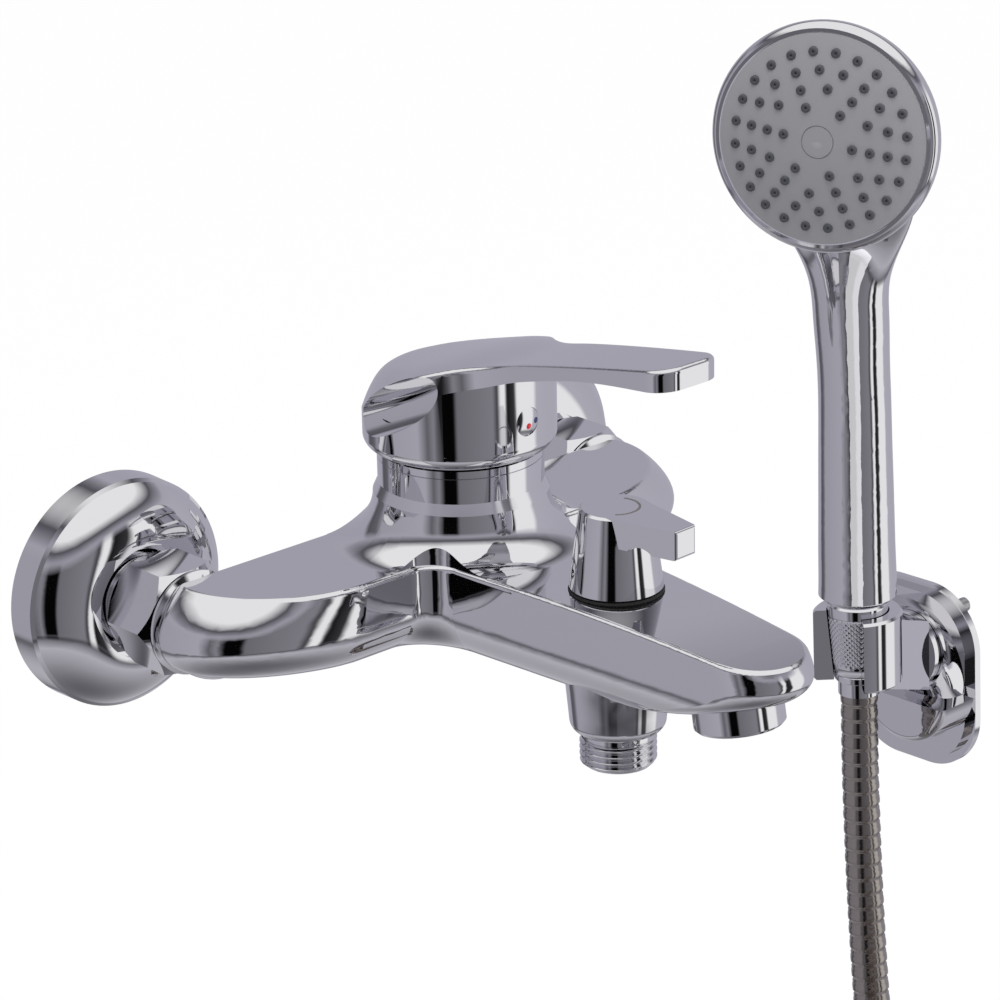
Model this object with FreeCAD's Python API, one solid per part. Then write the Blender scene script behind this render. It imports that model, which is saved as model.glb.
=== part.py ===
import FreeCAD, Part
import math
import os

# Single-lever bath and shower mixer on two wall inlets, with its hand shower,
# swivel bracket and spiral hose. Millimetres, +Z up, the wall is the plane y = 0,
# the mixer stands out of it along -Y, and the origin lies midway between the inlets.

V = FreeCAD.Vector
X_AXIS = V(1, 0, 0)
Z_AXIS = V(0, 0, 1)
OUT = V(0, -1, 0)

# Inlets, rosettes and union nuts
INLET_X = 75.0
UNION_OFFSET = 5.0
UNION_BODY_R = 13.1
UNION_BORE_R = 8.5
UNION_END = 29.0
WALL_THREAD_R = 10.48
WALL_THREAD_LENGTH = 15.0
WALL_BORE_R = 7.0
ROSETTE_R = 32.6
ROSETTE_BAND = 9.1
ROSETTE_DEPTH = 18.3
ROSETTE_WALL = 1.3
ROSETTE_HOLE_R = 16.1
ROSETTE_COLLAR = 2.4
NUT_FLATS = 28.6
NUT_BACK = 19.2
NUT_END_R = 14.2
NUT_CHAMFER = 3.0
NUT_LIP = 3.2
THREAD_FIT = 0.05
GASKET_THICKNESS = 2.0
TAIL_FLANGE = 2.6
TAIL_R = 10.4
INLET_FACE = 37.7
INLET_GAP = 0.5
INLET_R = 14.6
ELBOW_R = 12.9
ELBOW_Z = -0.6
ELBOW_BEND = 46.0

# Cast body
BEAM_Y = -57.0
BEAM_HALF_DEPTH = 19.0
BEAM_END_X = 90.0
BEAM_BACK_CORNER = 5.0
BEAM_SWEEP_FROM = 30.0
BEAM_LOWER_BACK = 4.5
TOP_END_SHARE = 0.86
BODY_TOP = 12.6
BODY_BOTTOM = -16.2
TOP_EDGE_R = 1.6
SPOUT_HALF_WIDTH = 21.9
SPOUT_TAPER = 4.4
SPOUT_FULLNESS = 0.82
SPOUT_CORNER_R = 8.0
SPOUT_TIP_Y = -190.3
SPOUT_DROOP_FROM = -105.0
SPOUT_DROOP_R = 980.0
TOWER_Y = -63.34
DOME_R = 26.6
TOWER_R = DOME_R - 3.7
TOWER_TOP = 35.6
TOWER_FLARE_R = 13.0
TOWER_SPREAD = 1.4
BOSS_Y = -124.3
BOSS_R = 14.6
BOSS_BOTTOM = -27.6
BOSS_FOOT_R = 13.1
BOSS_ROUND = 3.0

# Cartridge under the lever
CARTRIDGE_R = 17.5
CARTRIDGE_FLOOR = 8.0
CARTRIDGE_SHOULDER = 27.0
CARTRIDGE_NECK_R = 13.0
CARTRIDGE_NECK_TOP = 32.0
CARTRIDGE_NUT_TOP = 34.6
CARRIER_R = 9.0
CARRIER_FLOOR = 19.0
CARRIER_TOP = 38.2
STEM_WIDTH = 8.4
STEM_DEPTH = 7.0
STEM_FOOT = 23.5
STEM_TOP = 56.0
PIVOT_Z = 34.5
PIVOT_R = 1.5
RUNNING_FIT = 0.05
SIDE_FIT = 0.2
RING_R = TOWER_R
RING_TOP = 38.3
RING_INNER_R = 18.6

# Lever handle
DOME_BOTTOM = 38.6
DOME_CURL = 4.6
DOME_INNER_R = DOME_R - 2.9
DOME_ROOF = 49.6
LEVER_TIP_Y = -153.8
LEVER_TIP_HALF = 10.9
LEVER_TAPER = 2.6
LEVER_SWEEP_R = 34.0
LEVER_CORNER_R = 7.0
LEVER_EDGE_R = 1.3
SOCKET_R = 8.0
SOCKET_BOTTOM = 44.0
SOCKET_FIT = 0.05
SCOOP_R = 8.0
SCOOP_DEPTH = 2.4
SCOOP_Z = 54.5
SCOOP_SLOPE = 0.45
SCOOP_START = 30.0
LEVER_STOCK = 56.0
SHEET_HALF = 60.0
CROWN_RISE = 2.1
CROWN_END_Y = -100.0
SHOULDER_Y = -70.0
SHOULDER_R = 19.0
SHOULDER_SLOPE = 0.4
SHOULDER_MOST = 9.5
RIM_ROLL = 0.8
SCREW_R = 2.5
PLUG_R = 4.0
PLUG_Z = 50.5
PLUG_TURN = 2.0
PLUG_SEAT = 3.0
PLUG_PROUD = 0.3
PLUG_CROWN_R = 14.0

# Diverter knob on the spout
KNOB_BASE_R = 12.6
KNOB_TOP_R = 9.6
KNOB_BASE_Z = 13.2
KNOB_TOP_Z = 35.7
KNOB_TURN = 2.6
FLAG_REACH = 25.0
FLAG_WIDTH = 7.5
FLAG_HEIGHT = 8.0
SPINDLE_R = 4.0
HEADWORK_R = 8.0
HEADWORK_FLOOR = -8.0
HEADWORK_TOP = 19.0
SEAL_R = 12.9
SEAL_SEAT_Z = 12.1
SEAL_GAP = 0.05
FLAG_HOLLOW_R = 5.0

# Shower outlet and aerator
NIPPLE_R = 10.48
NIPPLE_BOTTOM = -37.4
NIPPLE_BORE_R = 7.0
NIPPLE_NECK_R = 9.7
NIPPLE_NECK = 2.0
NIPPLE_TOP = -14.0
AERATOR_Y = -170.05
AERATOR_Z = -12.8
AERATOR_TILT = 10.0
AERATOR_R = 12.15
AERATOR_HEIGHT = 13.0
AERATOR_BORE_R = 9.6
AERATOR_FIT = 0.05
AERATOR_SHOW = 10.0

# Where the shower set hangs, beside the mixer on the wall that closes the corner
SET_X = 185.0
SET_Y = -41.5
SET_Z = -84.7
SET_LEAN = 1.93
SET_WALL = 40.0
HANDSET_TURN = 63.4

# Hand shower, from the middle of its clip
HEAD_Z = 171.4
HEAD_R = 35.0
HEAD_TILT = 3.4
HEAD_RIM = 3.3
HEAD_BELLY = 3.6
HEAD_DEPTH = 17.0
FACE_R = HEAD_R - HEAD_RIM
FACE_GAP = 0.35
FACE_FRONT = 29.6
FACE_THICKNESS = 2.4
FACE_CROWN = 5.2
BADGE_R = 5.0
BADGE_GROOVE = 0.3
NOZZLE_R = 1.45
NOZZLE_COUNTS = (24, 18, 12, 6)
NOZZLE_STARTS_DEG = (4.86, 9.8, 19.73, 49.82)
NOZZLE_OUTER_R = 26.5
NOZZLE_STEP = 5.27
NOZZLE_PROUD = 0.9
FACE_SEAM_DEG = 0.0
MAT_THICKNESS = 1.5
GRIP_BOTTOM = 17.9
GRIP_BEVEL = 1.2
GRIP_BOTTOM_R = 12.35
GRIP_WAIST_R = 11.3
NECK_Z = 121.0
NECK_TOP = 175.0
NECK_R = 12.45
NECK_SWEEP = 3.7
INLET_THREAD_R = 8.3
INLET_THREAD_BOTTOM = 9.0
COLLAR_BOTTOM = 4.5
INLET_BORE_R = 4.6

# Cone nut and hose
CONE_TOP = 16.6
CONE_BOTTOM = -9.6
CONE_TOP_R = 9.6
CONE_BOTTOM_R = 7.6
HOSE_R = 6.0
HOSE_BORE_R = 3.6
HOSE_RIB_PITCH = 5.0
HOSE_RIB_DROP = 0.5
HOSE_START = -8.0
HOSE_RUN_END = -174.0
HOSE_SWING_R = 1300.0
HOSE_SWING_START = -26.0
FERRULE_R = 6.6
FERRULE_SHOW = 4.7
COIL_R = 69.0
COIL_PITCH = 13.6
COIL_LAST_PITCH = 22.0
COIL_TURNS = 3
TIE_GAP = 0.3
TIE_THICKNESS = 1.2
TIE_WIDTH = 12.0
END_NUT_FLATS = 24.0
END_NUT_LENGTH = 14.0
END_SEAT = 12.5

# Bracket
PLATE_HALF_WIDTH = 26.8
PLATE_HALF_HEIGHT = 31.0
PLATE_CORNER_R = 20.0
PLATE_STEP = 2.3
PLATE_THICKNESS = 5.0
PLATE_Y = 11.0
PLATE_Z = -20.6
BARREL_Z = -6.5
BARREL_R = 10.8
FLANGE_R = 12.6
FLANGE_THICKNESS = 2.6
CLIP_INNER_FIT = 0.35
CLIP_WALL = 4.2
CLIP_TOP = 13.5
CLIP_BOTTOM = -10.0
CLIP_OPENING_NEAR_DEG = 50.0
CLIP_OPENING_FAR_DEG = 43.0
WALL_SCREW_R = 2.4
SHELF_Z = -22.5
PIVOT_SCREW_R = 2.5
BARREL_SEAT = 22.0
BARREL_DEPTH = 7.0
COVER_START = BARREL_SEAT + FLANGE_THICKNESS + 0.2
COVER_FRONT_R = 13.6
SHELF_R = 18.0
SHELF_START = 19.0
SHELF_EDGE_R = 2.5
SCREW_PITCH = 30.0
SCREW_HEAD = 2.4
WALL_SCREW_LENGTH = 23.0


def arc_weight(turn):
    """Weight of the middle pole of a rational arc that turns by this many radians."""
    return math.cos(turn / 2)


def conic(start, corner, end, weight):
    """Edge of a circle or ellipse arc from its two tangents' corner."""
    curve = Part.BSplineCurve()
    curve.buildFromPolesMultsKnots([start, corner, end], [3, 3], [0, 1], False, 2, [1, weight, 1])
    return curve.toShape()


def line(start, end):
    return Part.LineSegment(start, end).toShape()


def arc(start, middle, end):
    return Part.Arc(start, middle, end).toShape()


def post(radius, low, high, x=0.0, y=0.0):
    """Upright cylinder between two heights."""
    return Part.makeCylinder(radius, high - low, V(x, y, low), Z_AXIS)


def revolved(points, x=0.0, y=0.0):
    """Turned solid from (radius, height) points; a point of three values is an arc's end."""
    edges = []
    here = V(points[0][0], 0, points[0][1])
    for point in points[1:] + points[:1]:
        there = V(point[0], 0, point[1])
        if len(point) > 2:
            edges.append(arc(here, V(point[2], 0, point[3]), there))
        elif here.distanceToPoint(there) > 1e-6:
            edges.append(line(here, there))
        here = there
    solid = Part.Face(Part.Wire(edges)).revolve(V(0, 0, 0), Z_AXIS, 360)
    solid.translate(V(x, y, 0))
    return solid


def facing_out(shape, x, z=0.0):
    """Turns a shape made along +Z so that it stands out of the wall at x, z."""
    turned = shape.copy()
    turned.rotate(V(0, 0, 0), X_AXIS, 90)
    turned.translate(V(x, 0, z))
    return turned


def hexagon(flats, low, high):
    """Upright hexagonal bar with two flats across this size."""
    radius = flats / math.sqrt(3)
    corners = [V(radius * math.cos(math.radians(60 * k)), radius * math.sin(math.radians(60 * k)), low)
               for k in range(7)]
    return Part.Face(Part.makePolygon(corners)).extrude(V(0, 0, high - low))


def chamfered_nut(flats, low, high, end_radius, chamfer):
    """Hexagonal nut whose corners are turned off at both ends."""
    corner = flats / math.sqrt(3) + 0.5
    turned = revolved([(0, low), (end_radius, low), (corner, low + chamfer), (corner, high - chamfer),
                       (end_radius, high), (0, high)])
    return hexagon(flats, low, high).common(turned)


def rounded(shape, radius, chosen):
    """Fillets the edges that chosen accepts, and keeps the shape if that fails."""
    edges = [edge for edge in shape.Edges if chosen(edge)]
    if not edges:
        print("no edges to round at radius", radius)
        return shape
    try:
        result = shape.makeFillet(radius, edges)
    except (Part.OCCError, ValueError):
        print("rounding left out at radius", radius)
        return shape
    if not result.isValid() or result.Volume <= 0:
        print("rounding not valid at radius", radius)
        return shape
    return result


# Wall unions


def make_union(x):
    """Eccentric union: wall thread, shoulder and the threaded end inside the nut."""
    body = revolved([(0, -1), (UNION_BODY_R, -1), (UNION_BODY_R, UNION_END), (0, UNION_END)])
    body = facing_out(body, x)
    wall = Part.makeCylinder(WALL_THREAD_R, WALL_THREAD_LENGTH, V(x, WALL_THREAD_LENGTH + 1, UNION_OFFSET), OUT)
    end_bore = Part.makeCylinder(UNION_BORE_R, UNION_END, V(x, -4, 0), OUT)
    wall_bore = Part.makeCylinder(WALL_BORE_R, WALL_THREAD_LENGTH + 6, V(x, WALL_THREAD_LENGTH + 1, UNION_OFFSET), OUT)
    return body.fuse(wall).cut(end_bore.fuse(wall_bore)).removeSplitter()


def make_rosette(x):
    """Bell-shaped cover plate: a plain band, then a dome that closes on the nut."""
    hole = ROSETTE_HOLE_R
    inner_r = ROSETTE_R - ROSETTE_WALL
    slope = (ROSETTE_R + hole) / 2
    outer = [(ROSETTE_R, 0), (ROSETTE_R - 0.2, ROSETTE_BAND - 0.8), (ROSETTE_R - 1.2, ROSETTE_BAND),
             (hole, ROSETTE_DEPTH, slope, (ROSETTE_BAND + ROSETTE_DEPTH) / 2 + 2.2),
             (hole, ROSETTE_DEPTH - ROSETTE_WALL),
             (inner_r - 1.2, ROSETTE_BAND - ROSETTE_WALL, slope - 0.4,
              (ROSETTE_BAND + ROSETTE_DEPTH) / 2 + 2.2 - 1.25 * ROSETTE_WALL),
             (inner_r, ROSETTE_BAND - ROSETTE_WALL - 1.0), (inner_r, 0)]
    thread = UNION_BODY_R + THREAD_FIT
    low = ROSETTE_DEPTH - ROSETTE_COLLAR - ROSETTE_WALL
    high = ROSETTE_DEPTH - ROSETTE_WALL
    collar = revolved([(thread, low), (hole + 1.0, low), (hole + 1.0, high), (thread, high)])
    return facing_out(revolved(outer).fuse(collar).removeSplitter(), x)


def make_union_nut(x):
    """Hexagonal union nut with a lip that draws the body's flange on to the gasket."""
    front = INLET_FACE - INLET_GAP
    nut = chamfered_nut(NUT_FLATS, NUT_BACK, front, NUT_END_R, NUT_CHAMFER)
    thread = post(UNION_BODY_R + THREAD_FIT, NUT_BACK - 1, front - NUT_LIP)
    mouth = post(TAIL_R + RUNNING_FIT, NUT_BACK, front + 1)
    return facing_out(nut.cut(thread).cut(mouth), x)


def make_gasket(x):
    """Fibre washer between the union and the body's flange."""
    washer = revolved([(UNION_BORE_R, UNION_END), (UNION_BODY_R - 0.6, UNION_END),
                       (UNION_BODY_R - 0.6, UNION_END + GASKET_THICKNESS),
                       (UNION_BORE_R, UNION_END + GASKET_THICKNESS)])
    return facing_out(washer, x)


# Cast body


def side_normal():
    """Outward direction, in plan, of the spout's right flank."""
    taper = math.radians(SPOUT_TAPER)
    return V(math.cos(taper), -math.sin(taper), 0)


def tip_radius(centre_y):
    """Radius of the spout's round tip when its centre is at this y."""
    corner_y = BEAM_Y - BEAM_HALF_DEPTH - SPOUT_CORNER_R
    start = V(SPOUT_HALF_WIDTH, corner_y, 0)
    return side_normal().dot(start - V(0, centre_y, 0))


def tip_centre(tip_y, inset):
    """Centre of the spout's tip for a waterline that ends at tip_y."""
    lean = math.sin(math.radians(SPOUT_TAPER))
    base = tip_radius(0)
    return (tip_y + base - inset) / (1 - lean)


def plan_wire(z, inset, end_x, tip_y, squareness):
    """Closed waterline of the beam and spout at height z, drawn in by inset, its ends at end_x."""
    half = BEAM_HALF_DEPTH - inset
    shift = BEAM_LOWER_BACK * inset / BEAM_HALF_DEPTH
    back = BEAM_Y + half + shift
    front = BEAM_Y - half + shift
    sweep_x = BEAM_SWEEP_FROM + 0.28 * (end_x - BEAM_SWEEP_FROM)
    corner = min(BEAM_BACK_CORNER, 0.4 * half, 0.4 * (end_x - BEAM_SWEEP_FROM))
    normal = side_normal()
    taper = math.radians(SPOUT_TAPER)
    corner_y = BEAM_Y - BEAM_HALF_DEPTH - SPOUT_CORNER_R
    corner_x = SPOUT_HALF_WIDTH + SPOUT_CORNER_R / math.cos(taper)
    hollow = V(corner_x, corner_y, 0)
    drawn_in = SPOUT_FULLNESS * inset
    centre_y = tip_centre(tip_y, drawn_in)
    tip_r = tip_radius(centre_y) - drawn_in
    foot = hollow - normal * (SPOUT_CORNER_R + drawn_in)
    tip_side = V(0, centre_y, 0) + normal * tip_r
    along = V(-math.sin(taper), -math.cos(taper), 0)
    bend = foot - along * ((front - foot.y) / along.y * -1)
    end_y = centre_y - tip_r
    tip_corner = tip_side + along * ((end_y - tip_side.y) / along.y)
    quarter = arc_weight(math.pi / 2)
    swing = arc_weight(math.pi / 2 - taper)

    def at(point, side=1):
        return V(point.x * side, point.y, z)

    def end(side):
        inner = V(side * (end_x - corner), back, z)
        outer = V(side * end_x, back - corner, z)
        return [conic(inner, V(side * end_x, back, z), outer, quarter),
                conic(outer, V(side * end_x, front, z), V(side * sweep_x, front, z), squareness)]

    def flank(side):
        return [line(V(side * sweep_x, front, z), V(side * corner_x, front, z)),
                conic(V(side * corner_x, front, z), at(bend, side), at(foot, side), swing),
                line(at(foot, side), at(tip_side, side)),
                conic(at(tip_side, side), at(tip_corner, side), V(0, end_y, z), swing)]

    edges = [line(V(end_x - corner, back, z), V(corner - end_x, back, z))]
    edges += end(-1) + flank(-1) + flank(1)[::-1] + end(1)[::-1]
    return Part.Wire(Part.__sortEdges__(edges))


def body_hull():
    """Hull of beam and spout, lofted up through its waterlines."""
    sections = []
    for turn, tip_y, end_x, squareness in ((80, -134.0, 0.41, 0.35), (71, -140.0, 0.57, 0.35), (60, -147.5, 0.72, 0.4),
                                           (46, -157.5, 0.87, 0.45), (31, -169.0, 0.965, 0.55), (15, -180.5, 0.995, 0.7)):
        angle = math.radians(turn)
        inset = BEAM_HALF_DEPTH * (1 - math.cos(angle))
        sections.append(plan_wire(BODY_BOTTOM * math.sin(angle), inset, end_x * BEAM_END_X, tip_y, squareness))
    sections.append(plan_wire(0, 0, BEAM_END_X, SPOUT_TIP_Y + 1.8, 0.8))
    sections.append(plan_wire(BODY_TOP / 2, 0, 0.97 * BEAM_END_X, SPOUT_TIP_Y + 0.2, 0.75))
    sections.append(plan_wire(BODY_TOP + 2, 0, TOP_END_SHARE * BEAM_END_X, SPOUT_TIP_Y, 0.7))
    return Part.makeLoft(sections, True, False)


def above_top():
    """Everything above the body's top face, which droops a little along the spout."""
    end_y = SPOUT_TIP_Y - 10
    drop = (end_y - SPOUT_DROOP_FROM) ** 2 / (2 * SPOUT_DROOP_R)
    middle_y = (end_y + SPOUT_DROOP_FROM) / 2
    middle_drop = (middle_y - SPOUT_DROOP_FROM) ** 2 / (2 * SPOUT_DROOP_R)
    side = -BEAM_END_X - 20
    flat = line(V(side, 0, BODY_TOP), V(side, SPOUT_DROOP_FROM, BODY_TOP))
    droop = arc(V(side, SPOUT_DROOP_FROM, BODY_TOP), V(side, middle_y, BODY_TOP - middle_drop),
                V(side, end_y, BODY_TOP - drop))
    rise = line(V(side, end_y, BODY_TOP - drop), V(side, end_y, BODY_TOP + 20))
    lid = line(V(side, end_y, BODY_TOP + 20), V(side, 0, BODY_TOP + 20))
    close = line(V(side, 0, BODY_TOP + 20), V(side, 0, BODY_TOP))
    return Part.Face(Part.Wire([flat, droop, rise, lid, close])).extrude(V(-2 * side, 0, 0))


def tower():
    """Upright that carries the cartridge, flared into the beam's top."""
    flare = TOWER_FLARE_R
    foot = TOWER_R + TOWER_SPREAD + flare
    dip = flare * (1 - math.sqrt(0.5))
    solid = revolved([(0, 0), (foot, 0), (foot, BODY_TOP),
                      (TOWER_R + TOWER_SPREAD, BODY_TOP + flare, TOWER_R + TOWER_SPREAD + dip, BODY_TOP + dip),
                      (TOWER_R, TOWER_TOP - 7), (TOWER_R, TOWER_TOP), (0, TOWER_TOP)], 0, TOWER_Y)
    outline = plan_wire(-1, TOP_EDGE_R - 0.2, (TOP_END_SHARE - 0.03) * BEAM_END_X, SPOUT_TIP_Y, 0.7)
    prism = Part.Face(outline).extrude(V(0, 0, TOWER_TOP + 5))
    return solid.common(prism)


def inlet_stub(x):
    """Round inlet that swells out of the beam's back, its collar and the flanged tail."""
    elbow = revolved([(0, INLET_FACE + 0.6), (ELBOW_R, INLET_FACE + 0.6), (ELBOW_R, ELBOW_BEND),
                      (ELBOW_R - 5, -BEAM_Y, ELBOW_R - 1.2, (ELBOW_BEND - BEAM_Y) / 2), (0, -BEAM_Y)])
    collar = revolved([(0, INLET_FACE), (INLET_R - 0.5, INLET_FACE), (INLET_R, INLET_FACE + 0.5),
                       (INLET_R, INLET_FACE + 1.3), (ELBOW_R - 1.0, INLET_FACE + 2.4), (0, INLET_FACE + 2.4)])
    flange = UNION_END + GASKET_THICKNESS
    tail = revolved([(0, flange), (UNION_BODY_R - 0.4, flange), (UNION_BODY_R - 0.4, flange + TAIL_FLANGE),
                     (TAIL_R, flange + TAIL_FLANGE), (TAIL_R, INLET_FACE + 1), (0, INLET_FACE + 1)])
    return facing_out(collar.fuse(tail), x).fuse(facing_out(elbow, x, ELBOW_Z))


def flat_lid():
    """Block over the arms' flat top, clear of the nuts."""
    return Part.makeBox(4 * INLET_X, 40, 20, V(-2 * INLET_X, -INLET_FACE - 2.4 - 40, BODY_TOP))


def aerator_axis():
    tilt = math.radians(AERATOR_TILT)
    return V(0, math.sin(tilt), math.cos(tilt))


def is_rim_of_top(edge):
    """Whether an edge of the trimmed hull runs round its top face."""
    box = edge.BoundBox
    on_top = box.ZMin > BODY_TOP - 6
    across = abs(box.YMin - SPOUT_DROOP_FROM) < 0.5 and abs(box.YMax - SPOUT_DROOP_FROM) < 0.5
    return on_top and not across


def make_body():
    """Cast body with the bores that its valves, unions and outlets sit in."""
    body = body_hull().cut(above_top()).Solids[0]
    body = rounded(body, TOP_EDGE_R, is_rim_of_top)
    boss = revolved([(0, -8), (BOSS_R, -8), (BOSS_FOOT_R, BOSS_BOTTOM + BOSS_ROUND),
                     (BOSS_FOOT_R - BOSS_ROUND, BOSS_BOTTOM, BOSS_FOOT_R - 0.3 * BOSS_ROUND,
                      BOSS_BOTTOM + 0.3 * BOSS_ROUND), (0, BOSS_BOTTOM)], 0, BOSS_Y)
    body = body.fuse(tower()).fuse(boss)
    for side in (-1, 1):
        body = body.fuse(inlet_stub(side * INLET_X).cut(flat_lid()))
    bores = [post(CARTRIDGE_R + THREAD_FIT, CARTRIDGE_FLOOR, TOWER_TOP + 1, 0, TOWER_Y),
             post(HEADWORK_R + THREAD_FIT, HEADWORK_FLOOR, BODY_TOP + 2, 0, BOSS_Y),
             post(NIPPLE_R + THREAD_FIT, BOSS_BOTTOM - 1, NIPPLE_TOP, 0, BOSS_Y),
             post(NIPPLE_BORE_R, NIPPLE_TOP - 1, HEADWORK_FLOOR + 1, 0, BOSS_Y),
             post(SEAL_R + SEAL_GAP, SEAL_SEAT_Z, BODY_TOP + 2, 0, BOSS_Y)]
    for side in (-1, 1):
        start = V(side * INLET_X, -UNION_END, 0)
        bores.append(Part.makeCylinder(UNION_BORE_R, -BEAM_Y - UNION_END, start, OUT))
        bores.append(Part.makeCylinder(7.0, INLET_X, V(side * INLET_X, BEAM_Y, 0), V(-side, 0, 0)))
    bores.append(Part.makeCylinder(7.0, BEAM_Y - AERATOR_Y, V(0, BEAM_Y, 0), OUT))
    bores.append(post(6.0, -1, CARTRIDGE_FLOOR + 1, 0, TOWER_Y))
    axis = aerator_axis()
    mouth = V(0, AERATOR_Y, AERATOR_Z)
    bores.append(Part.makeCylinder(AERATOR_R - 0.8, AERATOR_HEIGHT, mouth, axis))
    bores.append(Part.makeCylinder(AERATOR_R + AERATOR_FIT, AERATOR_SHOW + AERATOR_FIT, mouth, axis))
    for bore in bores:
        body = body.cut(bore)
    return body


# Cartridge


def make_cartridge():
    """Ceramic-disc cartridge body with the bore that its carrier turns in."""
    solid = revolved([(0, CARTRIDGE_FLOOR), (CARTRIDGE_R, CARTRIDGE_FLOOR), (CARTRIDGE_R, CARTRIDGE_SHOULDER),
                      (CARTRIDGE_NECK_R, CARTRIDGE_SHOULDER), (CARTRIDGE_NECK_R, CARTRIDGE_NECK_TOP),
                      (CARRIER_R + RUNNING_FIT, CARTRIDGE_NECK_TOP), (CARRIER_R + RUNNING_FIT, CARRIER_FLOOR),
                      (0, CARRIER_FLOOR)], 0, TOWER_Y)
    return solid


def make_cartridge_nut():
    """Threaded ring that clamps the cartridge in the tower, with spanner notches."""
    ring = revolved([(CARTRIDGE_NECK_R + SIDE_FIT, CARTRIDGE_SHOULDER), (CARTRIDGE_R, CARTRIDGE_SHOULDER),
                     (CARTRIDGE_R, CARTRIDGE_NUT_TOP), (CARTRIDGE_NECK_R + SIDE_FIT, CARTRIDGE_NUT_TOP)],
                    0, TOWER_Y)
    for k in range(6):
        notch = Part.makeBox(3, 2.4, 2.5, V(CARTRIDGE_R - 2, -1.2, CARTRIDGE_NUT_TOP - 2))
        notch.rotate(V(0, 0, 0), Z_AXIS, 60 * k)
        notch.translate(V(0, TOWER_Y, 0))
        ring = ring.cut(notch)
    return ring


def make_carrier():
    """Turning carrier whose two cheeks hold the lever's pivot pin."""
    solid = post(CARRIER_R, CARRIER_FLOOR + RUNNING_FIT, CARRIER_TOP, 0, TOWER_Y)
    slot_width = STEM_WIDTH + 2 * SIDE_FIT
    slot = Part.makeBox(slot_width, 3 * CARRIER_R, CARRIER_TOP - STEM_FOOT + 3,
                        V(-slot_width / 2, TOWER_Y - 1.5 * CARRIER_R, STEM_FOOT - 1.5))
    pin_hole = Part.makeCylinder(PIVOT_R, 3 * CARRIER_R, V(-1.5 * CARRIER_R, TOWER_Y, PIVOT_Z), X_AXIS)
    return solid.cut(slot).cut(pin_hole)


def make_pin():
    """Pivot pin of the lever's stem."""
    half = math.sqrt(CARRIER_R ** 2 - PIVOT_R ** 2) - 0.2
    return Part.makeCylinder(PIVOT_R, 2 * half, V(-half, TOWER_Y, PIVOT_Z), X_AXIS)


def make_stem():
    """Square stem that tilts on the pin and drives the discs with its foot."""
    stem = Part.makeBox(STEM_WIDTH, STEM_DEPTH, STEM_TOP - STEM_FOOT,
                        V(-STEM_WIDTH / 2, TOWER_Y - STEM_DEPTH / 2, STEM_FOOT))
    hole = Part.makeCylinder(PIVOT_R + RUNNING_FIT, 2 * STEM_WIDTH, V(-STEM_WIDTH, TOWER_Y, PIVOT_Z), X_AXIS)
    return stem.cut(hole)


def make_tower_ring():
    """Bright ring between the tower and the lever's dome."""
    return revolved([(RING_INNER_R, TOWER_TOP), (RING_R - 0.3, TOWER_TOP), (RING_R, TOWER_TOP + 0.3),
                     (RING_R, RING_TOP - 0.4), (RING_R - 0.4, RING_TOP), (RING_INNER_R, RING_TOP)], 0, TOWER_Y)


# Lever handle


def lever_outline(z):
    """Plan outline of the lever: the dome's circle swept into a tapering blade."""
    taper = math.radians(LEVER_TAPER)
    normal = V(math.cos(taper), -math.sin(taper), 0)
    along = V(-math.sin(taper), -math.cos(taper), 0)
    anchor = V(LEVER_TIP_HALF, LEVER_TIP_Y, 0)
    centre = V(0, TOWER_Y, 0)
    reach = DOME_R + LEVER_SWEEP_R
    offset = normal.dot(anchor - centre) + LEVER_SWEEP_R
    sweep = centre + normal * offset + along * math.sqrt(reach ** 2 - offset ** 2)
    touch = centre + (sweep - centre) * (DOME_R / reach)
    flank = sweep - normal * LEVER_SWEEP_R
    middle_dir = (touch - sweep) + (flank - sweep)
    middle = sweep + middle_dir.normalize() * LEVER_SWEEP_R
    corner_y = LEVER_TIP_Y + LEVER_CORNER_R
    corner_x = (normal.dot(anchor) - LEVER_CORNER_R + math.sin(taper) * corner_y) / math.cos(taper)
    corner = V(corner_x, corner_y, 0)
    corner_side = corner + normal * LEVER_CORNER_R
    corner_front = corner + V(0, -LEVER_CORNER_R, 0)
    corner_middle = corner + (normal + V(0, -1, 0)).normalize() * LEVER_CORNER_R

    def right(point):
        return V(point.x, point.y, z)

    def left(point):
        return V(-point.x, point.y, z)

    edges = [arc(left(touch), V(0, TOWER_Y + DOME_R, z), right(touch)),
             arc(right(touch), right(middle), right(flank)),
             line(right(flank), right(corner_side)),
             arc(right(corner_side), right(corner_middle), right(corner_front)),
             line(right(corner_front), left(corner_front)),
             arc(left(corner_front), left(corner_middle), left(corner_side)),
             line(left(corner_side), left(flank)),
             arc(left(flank), left(middle), left(touch))]
    return Part.Wire(edges)


def side_spline(points, depth):
    """Curved sheet, as a tall solid below or above a line drawn in the side view."""
    curve = Part.BSplineCurve()
    curve.interpolate([V(-SHEET_HALF, y, z) for y, z in points])
    first = V(-SHEET_HALF, *points[0])
    last = V(-SHEET_HALF, *points[-1])
    shift = V(0, 0, depth)
    edges = [curve.toShape(), line(last, last + shift), line(last + shift, first + shift), line(first + shift, first)]
    return Part.Face(Part.Wire(edges)).extrude(V(2 * SHEET_HALF, 0, 0))


LEVER_TOP_LINE = ((-30.0, 55.6), (-45.0, 58.6), (-63.0, 62.9), (-80.0, 67.4), (-100.0, 72.2),
                  (-120.0, 76.3), (-140.0, 80.0), (-166.0, 84.4))
LEVER_UNDER_LINE = ((-66.0, 50.0), (-76.0, 59.4), (-90.0, 64.0), (-100.0, 67.4), (-110.0, 70.1), (-120.0, 72.4),
                    (-135.0, 74.6), (-150.0, 75.9), (-166.0, 78.2))


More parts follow.
